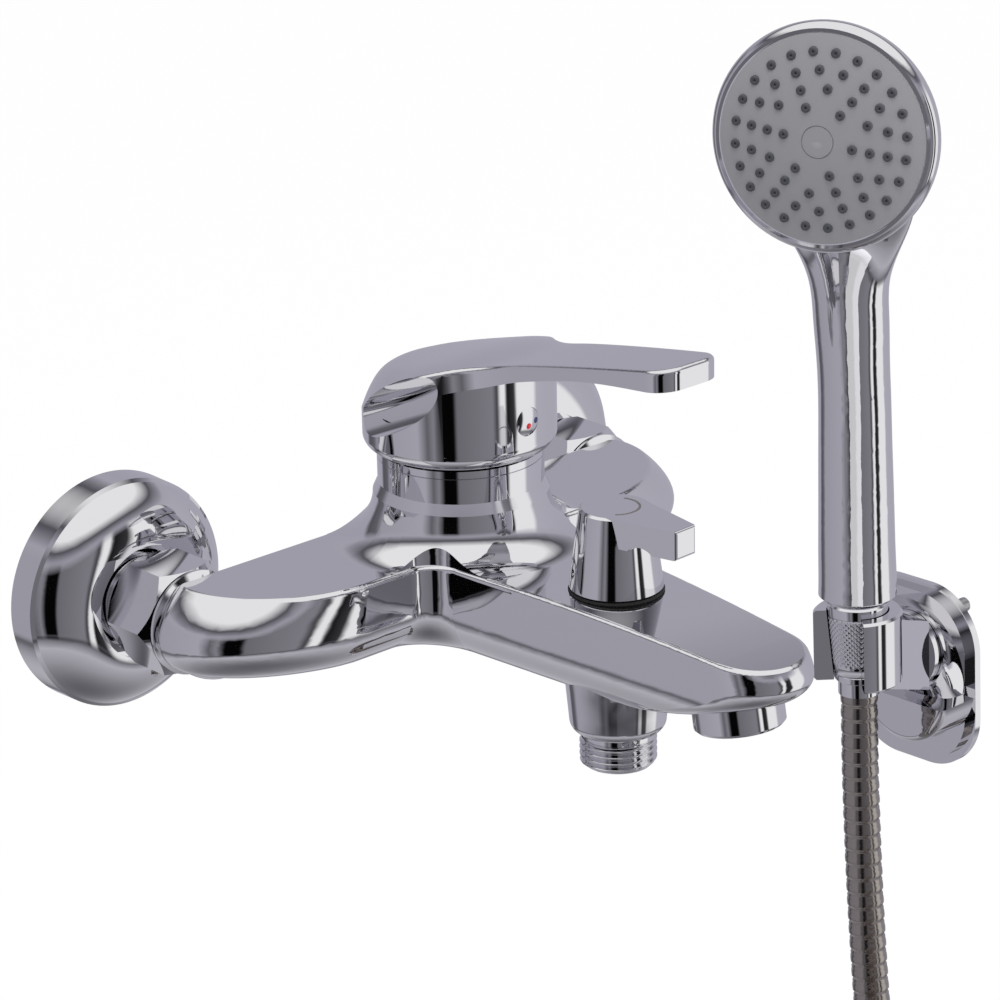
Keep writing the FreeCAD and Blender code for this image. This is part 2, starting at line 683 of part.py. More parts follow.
def lever_line():
    """Curve of the lever's top edge in the side view."""
    curve = Part.BSplineCurve()
    curve.interpolate([V(0, y, z) for y, z in LEVER_TOP_LINE])
    return curve


def end_mults(count):
    """Knot multiplicities of a cubic curve through this many poles, clamped at its ends."""
    return [4] + [1] * (count - 4) + [4]


def lever_half(y):
    """Rough half width of the lever at this distance out from the wall."""
    blade = LEVER_TIP_HALF + 3.0
    narrowing = min(1.0, max(0.0, (SHOULDER_Y - y) / (SHOULDER_Y - CROWN_END_Y)))
    narrowing = narrowing ** 2 * (3 - 2 * narrowing)
    return DOME_R + (blade - DOME_R) * narrowing


def shoulder_drop(y, radius):
    """How far the top has fallen at this distance from the dome's axis, behind the shoulder."""
    behind = max(0.0, y - SHOULDER_Y) * SHOULDER_SLOPE
    knee = 0.6 * SHOULDER_MOST
    if behind > knee:
        over = min(behind - knee, 2 * (SHOULDER_MOST - knee))
        behind = knee + over - over ** 2 / (4 * (SHOULDER_MOST - knee))
    outside = max(0.0, radius - SHOULDER_R) / (DOME_R - SHOULDER_R)
    return behind * outside ** 2


def above_lever():
    """Everything above the lever's crowned top, which falls away round the back of the dome."""
    curve = lever_line()
    rise = CROWN_RISE
    half = DOME_R + 4.0
    rows, columns = 33, 21
    grid = []
    for i in range(rows):
        row = []
        edge = curve.value(curve.FirstParameter + (curve.LastParameter - curve.FirstParameter) * i / (rows - 1))
        fade = min(1.0, max(0.0, (edge.y - CROWN_END_Y) / (SHOULDER_Y - CROWN_END_Y)))
        fade = fade ** 2 * (3 - 2 * fade)
        for k in range(columns):
            x = half * (2 * k / (columns - 1) - 1)
            crown = rise * fade * (1 - min(1.2, (x / lever_half(edge.y)) ** 2))
            radius = math.hypot(x, edge.y - TOWER_Y)
            roll = RIM_ROLL * fade * (max(0.0, radius - SHOULDER_R) / (DOME_R - SHOULDER_R)) ** 2
            row.append(V(x, edge.y, edge.z + crown - roll - shoulder_drop(edge.y, radius)))
        grid.append(row)
    sheet = Part.BSplineSurface()
    sheet.buildFromPolesMultsKnots(grid, end_mults(rows), end_mults(columns), list(range(rows - 2)),
                                   list(range(columns - 2)), False, False, 3, 3)
    return sheet.toShape().extrude(V(0, 0, LEVER_STOCK))


def make_lever():
    """Lever handle: a hollow dome over the cartridge whose top runs out into the blade."""
    low = DOME_BOTTOM
    solid = Part.Face(lever_outline(low)).extrude(V(0, 0, LEVER_STOCK))
    solid = solid.cut(above_lever()).Solids[0]
    rim_low = LEVER_TOP_LINE[0][1] - SHOULDER_MOST
    solid = rounded(solid, LEVER_EDGE_R, lambda edge: edge.BoundBox.ZMin > rim_low and edge.Length > 5)
    top = low + DOME_CURL
    dome = revolved([(0, low), (DOME_R - 0.75 * DOME_CURL, low),
                     (DOME_R, top, DOME_R - 0.18 * DOME_CURL, low + 0.33 * DOME_CURL),
                     (DOME_R, low + LEVER_STOCK), (0, low + LEVER_STOCK)], 0, TOWER_Y)
    solid = solid.common(dome.fuse(side_spline(LEVER_UNDER_LINE, LEVER_STOCK)))
    for side in (-1, 1):
        solid = solid.cut(scoop(side))
    cavity = post(DOME_INNER_R, low - 1, DOME_ROOF, 0, TOWER_Y)
    socket = post(SOCKET_R, SOCKET_BOTTOM, DOME_ROOF + 1, 0, TOWER_Y)
    solid = solid.cut(cavity.cut(socket))
    width = STEM_WIDTH + 2 * SOCKET_FIT
    depth = STEM_DEPTH + 2 * SOCKET_FIT
    hole = Part.makeBox(width, depth, STEM_TOP - SOCKET_BOTTOM + 1.3,
                        V(-width / 2, TOWER_Y - depth / 2, SOCKET_BOTTOM - 1))
    plug_hole = toward_plug(PLUG_R + RUNNING_FIT, DOME_R - PLUG_SEAT, DOME_R + 2)
    return solid.cut(hole).cut(plug_hole).cut(toward_plug(SCREW_R + RUNNING_FIT, 2.0, DOME_R)).Solids[0]


def scoop(side):
    """Hollow pressed into the dome's flank under the rim of the lever."""
    centre = V(side * (DOME_R + SCOOP_R - SCOOP_DEPTH), TOWER_Y + SCOOP_START, SCOOP_Z - SCOOP_START * SCOOP_SLOPE)
    run = V(-side * 0.06, -1, SCOOP_SLOPE)
    return Part.makeCylinder(SCOOP_R, 2 * SCOOP_START + 2, centre, run)


def toward_plug(radius, start, end):
    """Round bar from the dome's axis toward the index plug, between two distances."""
    turn = math.radians(PLUG_TURN)
    way = V(math.sin(turn), -math.cos(turn), 0)
    return Part.makeCylinder(radius, end - start, V(0, TOWER_Y, PLUG_Z) + way * start, way)


def make_plug():
    """Index plug that closes the grub screw's hole, with a crowned face."""
    face = PLUG_SEAT + PLUG_PROUD
    rim = face - PLUG_CROWN_R + math.sqrt(PLUG_CROWN_R ** 2 - PLUG_R ** 2)
    middle = face - PLUG_CROWN_R + math.sqrt(PLUG_CROWN_R ** 2 - PLUG_R ** 2 / 4)
    plug = revolved([(0, 0), (PLUG_R, 0), (PLUG_R, rim), (0, face, PLUG_R / 2, middle)])
    plug.translate(V(0, 0, DOME_R - PLUG_SEAT))
    plug.rotate(V(0, 0, 0), X_AXIS, 90)
    plug.rotate(V(0, 0, 0), Z_AXIS, PLUG_TURN)
    plug.translate(V(0, TOWER_Y, PLUG_Z))
    return plug


def make_grub_screw():
    """Grub screw that holds the lever on its stem."""
    turn = math.radians(PLUG_TURN)
    tip = STEM_WIDTH / 2 * math.sin(turn) + STEM_DEPTH / 2 * math.cos(turn) + SIDE_FIT
    screw = toward_plug(SCREW_R, tip, tip + 10)
    key = toward_plug(1.2, tip + 7, tip + 11)
    return screw.cut(key)


# Diverter


def make_knob():
    """Conical diverter knob with its flag-shaped finger piece."""
    cone = revolved([(0, KNOB_BASE_Z), (KNOB_BASE_R - 0.5, KNOB_BASE_Z), (KNOB_BASE_R, KNOB_BASE_Z + 0.5),
                     (KNOB_TOP_R + 0.2, KNOB_TOP_Z - 0.6), (KNOB_TOP_R - 0.5, KNOB_TOP_Z), (0, KNOB_TOP_Z)])
    half = FLAG_WIDTH / 2
    outline = [V(KNOB_TOP_R - 0.6, 0, 0), V(half, -FLAG_REACH, 0), V(-half, -FLAG_REACH, 0),
               V(-KNOB_TOP_R + 0.6, 0, 0), V(KNOB_TOP_R - 0.6, 0, 0)]
    flag = Part.Face(Part.makePolygon(outline)).extrude(V(0, 0, FLAG_HEIGHT))
    flag.translate(V(0, 0, KNOB_TOP_Z - FLAG_HEIGHT))
    hollow = Part.makeCylinder(FLAG_HOLLOW_R, 4 * half,
                               V(-2 * half, -KNOB_TOP_R - 4.5, KNOB_TOP_Z - FLAG_HEIGHT - FLAG_HOLLOW_R + 1.6), X_AXIS)
    flag = flag.cut(hollow)
    flag = rounded(flag.Solids[0], 0.8, lambda edge: edge.BoundBox.YMax < -FLAG_REACH + 0.1)
    knob = cone.fuse(flag).removeSplitter()
    bore = post(HEADWORK_R + 1.0, KNOB_BASE_Z - 1, HEADWORK_TOP + 1.0)
    socket = post(SPINDLE_R + SOCKET_FIT, KNOB_BASE_Z, KNOB_TOP_Z - 6.0)
    knob = knob.cut(bore).cut(socket)
    knob.rotate(V(0, 0, 0), Z_AXIS, KNOB_TURN)
    knob.translate(V(0, BOSS_Y, 0))
    return knob


def make_spindle():
    """Splined spindle of the diverter, under the knob's screw."""
    top = KNOB_TOP_Z - 6.2
    return post(SPINDLE_R, HEADWORK_FLOOR + 4.0, top, 0, BOSS_Y)


def make_headwork():
    """Diverter headwork: the threaded body that the spindle turns in."""
    solid = revolved([(SPINDLE_R + RUNNING_FIT, HEADWORK_FLOOR + 3.8), (SPINDLE_R + RUNNING_FIT, HEADWORK_TOP),
                      (HEADWORK_R - 1.0, HEADWORK_TOP), (HEADWORK_R, HEADWORK_TOP - 1.0),
                      (HEADWORK_R, HEADWORK_FLOOR), (0, HEADWORK_FLOOR), (0, HEADWORK_FLOOR + 3.8)], 0, BOSS_Y)
    return solid


def make_knob_seal():
    """Black ring between the knob's foot and the spout."""
    low = SEAL_SEAT_Z + SEAL_GAP
    high = KNOB_BASE_Z - RUNNING_FIT
    return revolved([(HEADWORK_R + RUNNING_FIT, low), (SEAL_R - 0.3, low), (SEAL_R, (low + high) / 2),
                     (SEAL_R - 0.3, high), (HEADWORK_R + RUNNING_FIT, high)], 0, BOSS_Y)


def make_nipple():
    """Threaded shower outlet below the spout."""
    neck = BOSS_BOTTOM - NIPPLE_NECK
    end = NIPPLE_BOTTOM
    return revolved([(NIPPLE_BORE_R, NIPPLE_TOP), (NIPPLE_R, NIPPLE_TOP), (NIPPLE_R, BOSS_BOTTOM),
                     (NIPPLE_NECK_R, BOSS_BOTTOM), (NIPPLE_NECK_R, neck), (NIPPLE_R, neck - 0.6),
                     (NIPPLE_R, end + 1.0), (NIPPLE_R - 1.0, end), (NIPPLE_BORE_R, end)], 0, BOSS_Y)


def at_aerator(shape):
    """Tilts a shape made along +Z from the aerator's mouth into place."""
    placed = shape.copy()
    placed.rotate(V(0, 0, 0), X_AXIS, -AERATOR_TILT)
    placed.translate(V(0, AERATOR_Y, AERATOR_Z))
    return placed


def make_aerator():
    """Bright aerator housing that screws into the spout."""
    inner = AERATOR_BORE_R
    thread = AERATOR_R - 0.8 - AERATOR_FIT
    return at_aerator(revolved([(inner, 0), (AERATOR_R - 0.8, 0), (AERATOR_R, 0.8), (AERATOR_R, AERATOR_SHOW),
                                (thread, AERATOR_SHOW), (thread, AERATOR_HEIGHT - 1.7), (inner, AERATOR_HEIGHT - 1.7)]))


def make_aerator_insert():
    """Jet former inside the aerator, pierced by a grid of slots."""
    disc = post(AERATOR_BORE_R - AERATOR_FIT, 0.8, AERATOR_HEIGHT - 3.2)
    pitch = 3.0
    count = int(AERATOR_BORE_R / pitch)
    for i in range(-count, count + 1):
        for j in range(-count, count + 1):
            x = i * pitch
            y = j * pitch
            if math.hypot(x, y) < AERATOR_BORE_R - 2.0:
                disc = disc.cut(Part.makeBox(2.0, 2.0, 5.0, V(x - 1.0, y - 1.0, 0.5)))
    return at_aerator(disc)


def make_aerator_gasket():
    """Rubber washer that seals the aerator at the bottom of its hole."""
    return at_aerator(revolved([(6.5, AERATOR_HEIGHT - 1.6), (AERATOR_R - 1.0, AERATOR_HEIGHT - 1.6),
                                (AERATOR_R - 1.0, AERATOR_HEIGHT - 0.05), (6.5, AERATOR_HEIGHT - 0.05)]))


# Shower set: placing


def in_set(shape):
    """Places a shape drawn from the middle of the clip into the corner beside the mixer."""
    placed = shape.copy()
    placed.rotate(V(0, 0, 0), X_AXIS, -SET_LEAN)
    placed.translate(V(SET_X, SET_Y, SET_Z))
    return placed


def in_hand(shape):
    """Places a shape drawn with the spray face toward -Y on the turned hand shower."""
    turned = shape.copy()
    turned.rotate(V(0, 0, 0), Z_AXIS, -HANDSET_TURN)
    return in_set(turned)


def toward_face(shape):
    """Turns a shape made along +Z to stand forward from the middle of the head."""
    turned = shape.copy()
    turned.rotate(V(0, 0, 0), X_AXIS, 90 - HEAD_TILT)
    turned.translate(V(0, 0, HEAD_Z))
    return turned


# Hand shower


def grip_section(z, centre_y, half_width, half_depth):
    """Oval section of the grip at one height."""
    quarter = arc_weight(math.pi / 2)
    corners = ((1, 0), (1, 1), (0, 1), (-1, 1), (-1, 0), (-1, -1), (0, -1), (1, -1), (1, 0))
    points = [V(u * half_width, centre_y + v * half_depth, z) for u, v in corners]
    return Part.Wire([conic(points[k], points[k + 1], points[k + 2], quarter) for k in range(0, 8, 2)])


def grip():
    """Grip that narrows to a waist, then sweeps forward and widens into the head."""
    low = GRIP_BOTTOM + GRIP_BEVEL
    half_widths = (GRIP_BOTTOM_R, GRIP_BOTTOM_R - 0.22, GRIP_WAIST_R + 0.61, GRIP_WAIST_R + 0.4, GRIP_WAIST_R + 0.17,
                   GRIP_WAIST_R, GRIP_WAIST_R + 0.05, NECK_R - 0.7, NECK_R + 0.2, NECK_R + 5.4, NECK_R + 11.3,
                   NECK_R + 15.6, NECK_R + 16.6)
    half_depths = (GRIP_BOTTOM_R, GRIP_BOTTOM_R - 0.3, GRIP_WAIST_R + 0.4, GRIP_WAIST_R + 0.1, GRIP_WAIST_R - 0.2,
                   GRIP_WAIST_R - 0.4, GRIP_WAIST_R - 0.5, GRIP_WAIST_R - 0.6, GRIP_WAIST_R - 0.9, GRIP_WAIST_R - 2.5,
                   GRIP_WAIST_R - 5.1, GRIP_WAIST_R - 5.3, GRIP_WAIST_R - 6.0)
    forward = (0, 0, 0, 0, 0, 0, 0.27, 0.65, 1.08, 1.8, 3.9, 4.7, 5.0)
    step = (NECK_TOP - low) / (len(forward) - 1)
    stations = [(low + k * step, -NECK_SWEEP * forward[k], half_widths[k], half_depths[k]) for k in range(len(forward))]
    bevel = revolved([(0, GRIP_BOTTOM), (GRIP_BOTTOM_R - GRIP_BEVEL, GRIP_BOTTOM), (GRIP_BOTTOM_R, low), (0, low)])
    return Part.makeLoft([grip_section(*station) for station in stations], True, False).fuse(bevel)


def make_handset():
    """Hand shower shell: the grip runs out into a shallow round head."""
    front = FACE_FRONT
    back = front - HEAD_DEPTH
    seat_r = FACE_R + FACE_GAP
    belly = front - HEAD_BELLY
    head = toward_face(revolved([(0, back), (0.37 * HEAD_R, back), (HEAD_R - 2.0, belly - 5.5, 0.8 * HEAD_R, back + 3.4),
                                 (HEAD_R, belly, HEAD_R - 0.5, belly - 2.9), (seat_r + 1.0, front, HEAD_R - 0.5, belly + 2.2),
                                 (0, front)]))
    shell = grip().fuse(head)
    mat = front - FACE_THICKNESS - MAT_THICKNESS
    face_seat = toward_face(post(seat_r, mat, front + 1))
    chamber = toward_face(post(FACE_R - 3.0, mat - 3.0, front))
    waterway = post(INLET_BORE_R, GRIP_BOTTOM - 1, NECK_Z + 6)
    turn_up = Part.makeCylinder(INLET_BORE_R, 40, V(0, 0, NECK_Z + 4), V(0, -HEAD_DEPTH, HEAD_Z - NECK_Z - 18))
    seat = post(INLET_THREAD_R + 1.5, GRIP_BOTTOM - 1, GRIP_BOTTOM + 12)
    for hollow in (face_seat, chamber, waterway, turn_up, seat):
        shell = shell.cut(hollow)
    return in_hand(shell)


def nozzle_places():
    """Middle of each spray nozzle on the face, in rings, as (across, up)."""
    places = []
    for ring, (count, start) in enumerate(zip(NOZZLE_COUNTS, NOZZLE_STARTS_DEG)):
        radius = NOZZLE_OUTER_R - ring * NOZZLE_STEP
        for k in range(count):
            angle = math.radians(start + 360.0 * k / count)
            places.append((radius * math.cos(angle), radius * math.sin(angle)))
    return places


def face_height(radius):
    """Height of the crowned face at this distance from its middle."""
    ball = (FACE_R ** 2 + FACE_CROWN ** 2) / (2 * FACE_CROWN)
    return FACE_FRONT + FACE_CROWN - ball + math.sqrt(ball ** 2 - radius ** 2)


def make_face():
    """Crowned spray face with a hole for each nozzle and a ring groove in its middle."""
    back = FACE_FRONT - FACE_THICKNESS
    disc = revolved([(0, back), (FACE_R, back), (FACE_R, FACE_FRONT),
                     (0, face_height(0), FACE_R / 2, face_height(FACE_R / 2))])
    disc.rotate(V(0, 0, 0), Z_AXIS, FACE_SEAM_DEG)
    top = face_height(0) + 1
    holes = [post(NOZZLE_R + 0.05, back - 1, top, x, y) for x, y in nozzle_places()]
    floor = face_height(BADGE_R) - BADGE_GROOVE
    groove = post(BADGE_R, floor, top).cut(post(BADGE_R - BADGE_GROOVE, floor, top))
    return in_hand(toward_face(disc.cut(Part.makeCompound(holes)).cut(groove)))


def make_nozzles():
    """Rubber mat behind the face whose nozzles stand a little proud of it."""
    back = FACE_FRONT - FACE_THICKNESS
    mat = post(FACE_R - 1.0, back - MAT_THICKNESS + 0.05, back - 0.05)
    pins = [post(NOZZLE_R, back - 0.2, face_height(math.hypot(x, y)) + NOZZLE_PROUD, x, y) for x, y in nozzle_places()]
    return in_hand(toward_face(mat.fuse(pins)))


def make_handset_inlet():
    """Threaded inlet pressed into the grip's foot."""
    tube = revolved([(INLET_BORE_R, INLET_THREAD_BOTTOM), (INLET_THREAD_R, INLET_THREAD_BOTTOM),
                     (INLET_THREAD_R, GRIP_BOTTOM - 0.5), (INLET_THREAD_R + 1.45, GRIP_BOTTOM - 0.5),
                     (INLET_THREAD_R + 1.45, GRIP_BOTTOM + 11.9), (INLET_BORE_R, GRIP_BOTTOM + 11.9)])
    return in_hand(tube)


def make_hose_washer():
    """Rubber washer between the hand shower's inlet and the hose."""
    return in_set(revolved([(INLET_BORE_R, INLET_THREAD_BOTTOM - 2.0), (INLET_THREAD_R - 0.3, INLET_THREAD_BOTTOM - 2.0),
                            (INLET_THREAD_R - 0.3, INLET_THREAD_BOTTOM - 0.02), (INLET_BORE_R, INLET_THREAD_BOTTOM - 0.02)]))


# Hose


def make_cone_nut():
    """Conical nut that seats in the clip and draws the hose on to the hand shower."""
    return in_set(revolved([(INLET_THREAD_R + THREAD_FIT, CONE_TOP), (CONE_TOP_R - 0.6, CONE_TOP),
                            (CONE_TOP_R, CONE_TOP - 0.6), (CONE_TOP_R, CONE_TOP - 3.2), (CONE_BOTTOM_R + 0.3, CONE_BOTTOM + 4.0),
                            (CONE_BOTTOM_R + 0.3, CONE_BOTTOM + 2.4), (CONE_BOTTOM_R, CONE_BOTTOM + 2.2),
                            (CONE_BOTTOM_R, CONE_BOTTOM), (FERRULE_R + RUNNING_FIT, CONE_BOTTOM),
                            (FERRULE_R + RUNNING_FIT, COLLAR_BOTTOM), (INLET_THREAD_R + THREAD_FIT, COLLAR_BOTTOM)]))


def make_ferrule():
    """Crimped sleeve and collar on the hose's upper end, inside the cone nut."""
    collar_top = INLET_THREAD_BOTTOM - 2.0 - 0.02
    low = CONE_BOTTOM - FERRULE_SHOW
    return in_set(revolved([(INLET_BORE_R - 1.5, HOSE_START), (HOSE_R + 0.02, HOSE_START), (HOSE_R + 0.02, low),
                            (FERRULE_R, low), (FERRULE_R, COLLAR_BOTTOM + 0.02), (INLET_THREAD_R - 0.3, COLLAR_BOTTOM + 0.02),
                            (INLET_THREAD_R - 0.3, collar_top),
                            (INLET_BORE_R - 1.5, collar_top)]))


def run_point(distance):
    """Point of the hose's middle line this far below its start, and its lean toward -Y."""
    straight = HOSE_START - HOSE_SWING_START
    if distance <= straight:
        return V(0, 0, HOSE_START - distance), 0.0
    lean = (distance - straight) / HOSE_SWING_R
    return V(0, -HOSE_SWING_R * (1 - math.cos(lean)), HOSE_SWING_START - HOSE_SWING_R * math.sin(lean)), lean


def run_length():
    """Length of the hanging stretch down to where the coil takes over."""
    turn = math.asin((HOSE_SWING_START - HOSE_RUN_END) / HOSE_SWING_R)
    return HOSE_START - HOSE_SWING_START + HOSE_SWING_R * turn


def hose_ring(distance, radius):
    """Circle round the hose's middle line at this distance down it."""
    centre, lean = run_point(distance)
    circle = Part.Circle(centre, X_AXIS, radius)
    circle.Axis = V(0, math.sin(lean), math.cos(lean))
    return Part.Wire(circle.toShape())


def hose_tube(stations):
    return Part.makeLoft([hose_ring(distance, radius) for distance, radius in stations], True, True)


def make_hose_run():
    """Hanging stretch of the spiral hose, ribbed, with its bore."""
    length = run_length()
    plain = 2 * HOSE_R
    count = int((length - 2 * plain) / HOSE_RIB_PITCH)
    first = (length - count * HOSE_RIB_PITCH) / 2
    outside = [(0.02, HOSE_R), (first, HOSE_R)]
    for k in range(count):
        start = first + k * HOSE_RIB_PITCH
        outside.append((start + 0.12 * HOSE_RIB_PITCH, HOSE_R - HOSE_RIB_DROP))
        outside.append((start + 0.42 * HOSE_RIB_PITCH, HOSE_R - HOSE_RIB_DROP))
        outside.append((start + 0.50 * HOSE_RIB_PITCH, HOSE_R))
        outside.append((start + 1.00 * HOSE_RIB_PITCH, HOSE_R))
    outside.append((length, HOSE_R))
    tube = hose_tube(outside)
    steps = 24
    inside = [(-1.0, HOSE_BORE_R)] + [(length * k / steps, HOSE_BORE_R) for k in range(1, steps)] + [(length + 1.0, HOSE_BORE_R)]
    print("hose run: ribs", count, "length", round(length, 2), "volume", round(tube.Volume, 1),
          "section times length", round(math.pi * HOSE_R ** 2 * length, 1))
    return in_set(tube.cut(hose_tube(inside)))


def coil_point(turn):
    """Point of the coil's middle line after this many turns, and its direction."""
    extra = max(0.0, turn - COIL_TURNS + 1)
    widening = COIL_LAST_PITCH - COIL_PITCH
    out = -COIL_PITCH * turn - widening * extra * extra
    slope = -COIL_PITCH - 2 * widening * extra
    angle = 2 * math.pi * turn
    centre = coil_centre()
    point = V(out, centre.y + COIL_R * math.cos(angle), centre.z - COIL_R * math.sin(angle))
    way = V(slope, -2 * math.pi * COIL_R * math.sin(angle), -2 * math.pi * COIL_R * math.cos(angle))
    return point, way.normalize()


def coil_lead():
    """Where the straight lead into the coil starts and ends, its direction, and its turn."""
    top, lean = run_point(run_length())
    way = V(0, -math.sin(lean), -math.cos(lean))
    return top, top + way * (2 * HOSE_R), way, lean / (2 * math.pi)


def coil_centre():
    """Middle of the coil, which the lead runs into on a tangent."""
    _, end, way, _ = coil_lead()
    return end + V(0, way.z, -way.y) * COIL_R


def biarc(start, start_way, end, end_way):
    """Two arcs that leave start and reach end along the given directions."""
    gap = end - start
    ways = start_way + end_way
    a = ways.dot(ways) - 4
    b = -2 * gap.dot(ways)
    c = gap.dot(gap)
    reach = (-b - math.sqrt(b * b - 4 * a * c)) / (2 * a)
    if reach < 0:
        reach = (-b + math.sqrt(b * b - 4 * a * c)) / (2 * a)
    first = start + start_way * reach
    last = end - end_way * reach
    joint = (first + last) * 0.5
    return [tangent_arc(start, first, joint), tangent_arc(joint, last, end)], joint


def tangent_arc(start, corner, end):
    """Arc that touches both sides of a corner with sides of one length."""
    middle = (start + end) * 0.5
    rise = corner - middle
    half = (end - start).Length / 2
    side = (corner - start).Length
    radius = half * side / rise.Length
    sagitta = radius - math.sqrt(radius * radius - half * half)
    return arc(start, middle + rise.normalize() * sagitta, end)


def make_coil():
    """Put-away length of hose: one unbroken tube wound in a hanging coil."""
    top, start, lead_way, first = coil_lead()
    turns = [first] + [k / 4 for k in range(1, 4 * COIL_TURNS + 1)]
    edges = [line(top, start)]
    here, here_way = start, lead_way
    for turn in turns[1:]:
        there, there_way = coil_point(turn)
        if turn == turns[-1]:
            there_way = V(0, 0, -1)
        arcs, _ = biarc(here, here_way, there, there_way)
        edges += arcs
        here, here_way = there, there_way
    edges.append(line(here, here + V(0, 0, -2 * HOSE_R)))
    path = Part.Wire(edges)
    circle = Part.Wire(Part.Circle(top, lead_way, HOSE_R).toShape())
    tube = path.makePipeShell([circle], True, False)
    print("coil: length", round(path.Length, 1), "volume", round(tube.Volume, 1),
          "section times length", round(math.pi * HOSE_R ** 2 * path.Length, 1))
    print("coil: least gap to itself", round(least_gap(path), 2))
    return in_set(tube)


def least_gap(path):
    """Least distance between stretches of the path over half a turn apart, less the tube's diameter."""
    points = path.discretize(Number=60 * COIL_TURNS)
    apart = int(len(points) / COIL_TURNS / 2)
    least = min(points[k].distanceToPoint(points[j]) for k in range(len(points)) for j in range(k + apart, len(points)))
    return least - 2 * HOSE_R


def make_tie():
    """Strap round the coil's turns where the hose comes down into it."""
    far, _ = coil_point(COIL_TURNS - 0.75)
    near, _ = coil_point(0.25)
    left = far.x - HOSE_R - TIE_GAP
    right = near.x + HOSE_R + TIE_GAP
    centre_y = near.y
    centre_z = near.z
    depth = HOSE_R + TIE_GAP
    outer = Part.makeBox(right - left + 2 * TIE_THICKNESS, TIE_WIDTH, 2 * depth + 2 * TIE_THICKNESS,
                         V(left - TIE_THICKNESS, centre_y - TIE_WIDTH / 2, centre_z - depth - TIE_THICKNESS))
    outer = outer.makeFillet(depth * 0.9, [e for e in outer.Edges if abs(e.BoundBox.YLength - TIE_WIDTH) < 0.01])
    inner = Part.makeBox(right - left, TIE_WIDTH + 2, 2 * depth, V(left, centre_y - TIE_WIDTH / 2 - 1, centre_z - depth))
    inner = inner.makeFillet(depth * 0.8, [e for e in inner.Edges if abs(e.BoundBox.YLength - TIE_WIDTH - 2) < 0.01])
    return in_set(outer.cut(inner))


def coil_end():
    """Point where the coil's tube stops, ahead of the end fitting."""
    finish, _ = coil_point(COIL_TURNS)
    return finish + V(0, 0, -2 * HOSE_R)


def at_coil_end(shape):
    """Places a shape made along +Z, from the tube's end down, on the hose's far end."""
    turned = shape.copy()
    turned.rotate(V(0, 0, 0), X_AXIS, 180)
    turned.translate(coil_end())
    return in_set(turned)


def make_end_ferrule():
    """Crimped sleeve on the far end with the collar that the end nut draws on."""
    return at_coil_end(revolved([(HOSE_BORE_R, 0.02), (HOSE_R + 0.7, 0.02), (HOSE_R + 0.7, 8.5), (HOSE_R + 3.4, 8.5),
                                 (HOSE_R + 3.4, 10.5), (HOSE_BORE_R, 10.5)]))


def make_end_nut():
    """Hexagonal half-inch nut on the hose's far end."""
    low = 5.0
    nut = chamfered_nut(END_NUT_FLATS, low, low + END_NUT_LENGTH, END_NUT_FLATS / 2, 1.2)
    recess = post(NIPPLE_R + 0.5, low + 3.4, END_SEAT + 0.1)
    mouth = post(NIPPLE_R + THREAD_FIT, END_SEAT, low + END_NUT_LENGTH + 1)
    hole = post(HOSE_R + 0.75, low - 1, low + 4)
    return at_coil_end(nut.cut(recess).cut(mouth).cut(hole))


def make_end_washer():
    """Rubber washer in the mouth of the end nut."""
    return at_coil_end(revolved([(HOSE_BORE_R + 1, 10.52), (NIPPLE_R - 0.4, 10.52), (NIPPLE_R - 0.4, END_SEAT),
                                 (HOSE_BORE_R + 1, END_SEAT)]))


# Bracket


def rounded_square(half_width, half_height, corner, x, y, z):
    """Closed outline with four round corners, across X, centred on y and z."""
    slope = math.sqrt(0.5) * corner
    edges = []
    here = V(x, y + half_width, z - half_height + corner)
    for u, v in ((1, 1), (-1, 1), (-1, -1), (1, -1)):
        centre = V(x, y + u * (half_width - corner), z + v * (half_height - corner))
        beside = centre + V(0, u * corner, 0)
        above = centre + V(0, 0, v * corner)
        start, end = (beside, above) if u == v else (above, beside)
        edges += [line(here, start), arc(start, centre + V(0, u * slope, v * slope), end)]
        here = end
    return Part.Wire(edges)


def plate_slab(inset, start, end):
    """Slab of the plate's outline, drawn in by inset."""
    outline = rounded_square(PLATE_HALF_WIDTH - inset, PLATE_HALF_HEIGHT - inset, PLATE_CORNER_R - inset / 2,
                             start, PLATE_Y, PLATE_Z)
    return Part.Face(outline).extrude(V(end - start, 0, 0))


def wall_screw_places():
    return ((PLATE_Y, PLATE_Z + SCREW_PITCH / 2), (PLATE_Y, PLATE_Z - SCREW_PITCH / 2))


def make_plate():
    """Wall plate with a stepped rim, drilled for its two wall screws."""
    start = SET_WALL - PLATE_THICKNESS
    step = PLATE_THICKNESS / 2
    plate = plate_slab(0, start + step, SET_WALL).fuse(plate_slab(PLATE_STEP, start, start + step))
    for y, z in wall_screw_places():
        plate = plate.cut(Part.makeCylinder(WALL_SCREW_R + 0.2, 3 * PLATE_THICKNESS, V(start - 1, y, z), X_AXIS))
    return in_set(plate.removeSplitter())


def oval(half_width, half_height, x, y, z):
    """Closed ellipse across X, centred on y and z."""
    quarter = arc_weight(math.pi / 2)
    corners = ((1, 0), (1, 1), (0, 1), (-1, 1), (-1, 0), (-1, -1), (0, -1), (1, -1), (1, 0))
    points = [V(x, y + u * half_width, z + v * half_height) for u, v in corners]
    return Part.Wire([conic(points[k], points[k + 1], points[k + 2], quarter) for k in range(0, 8, 2)])


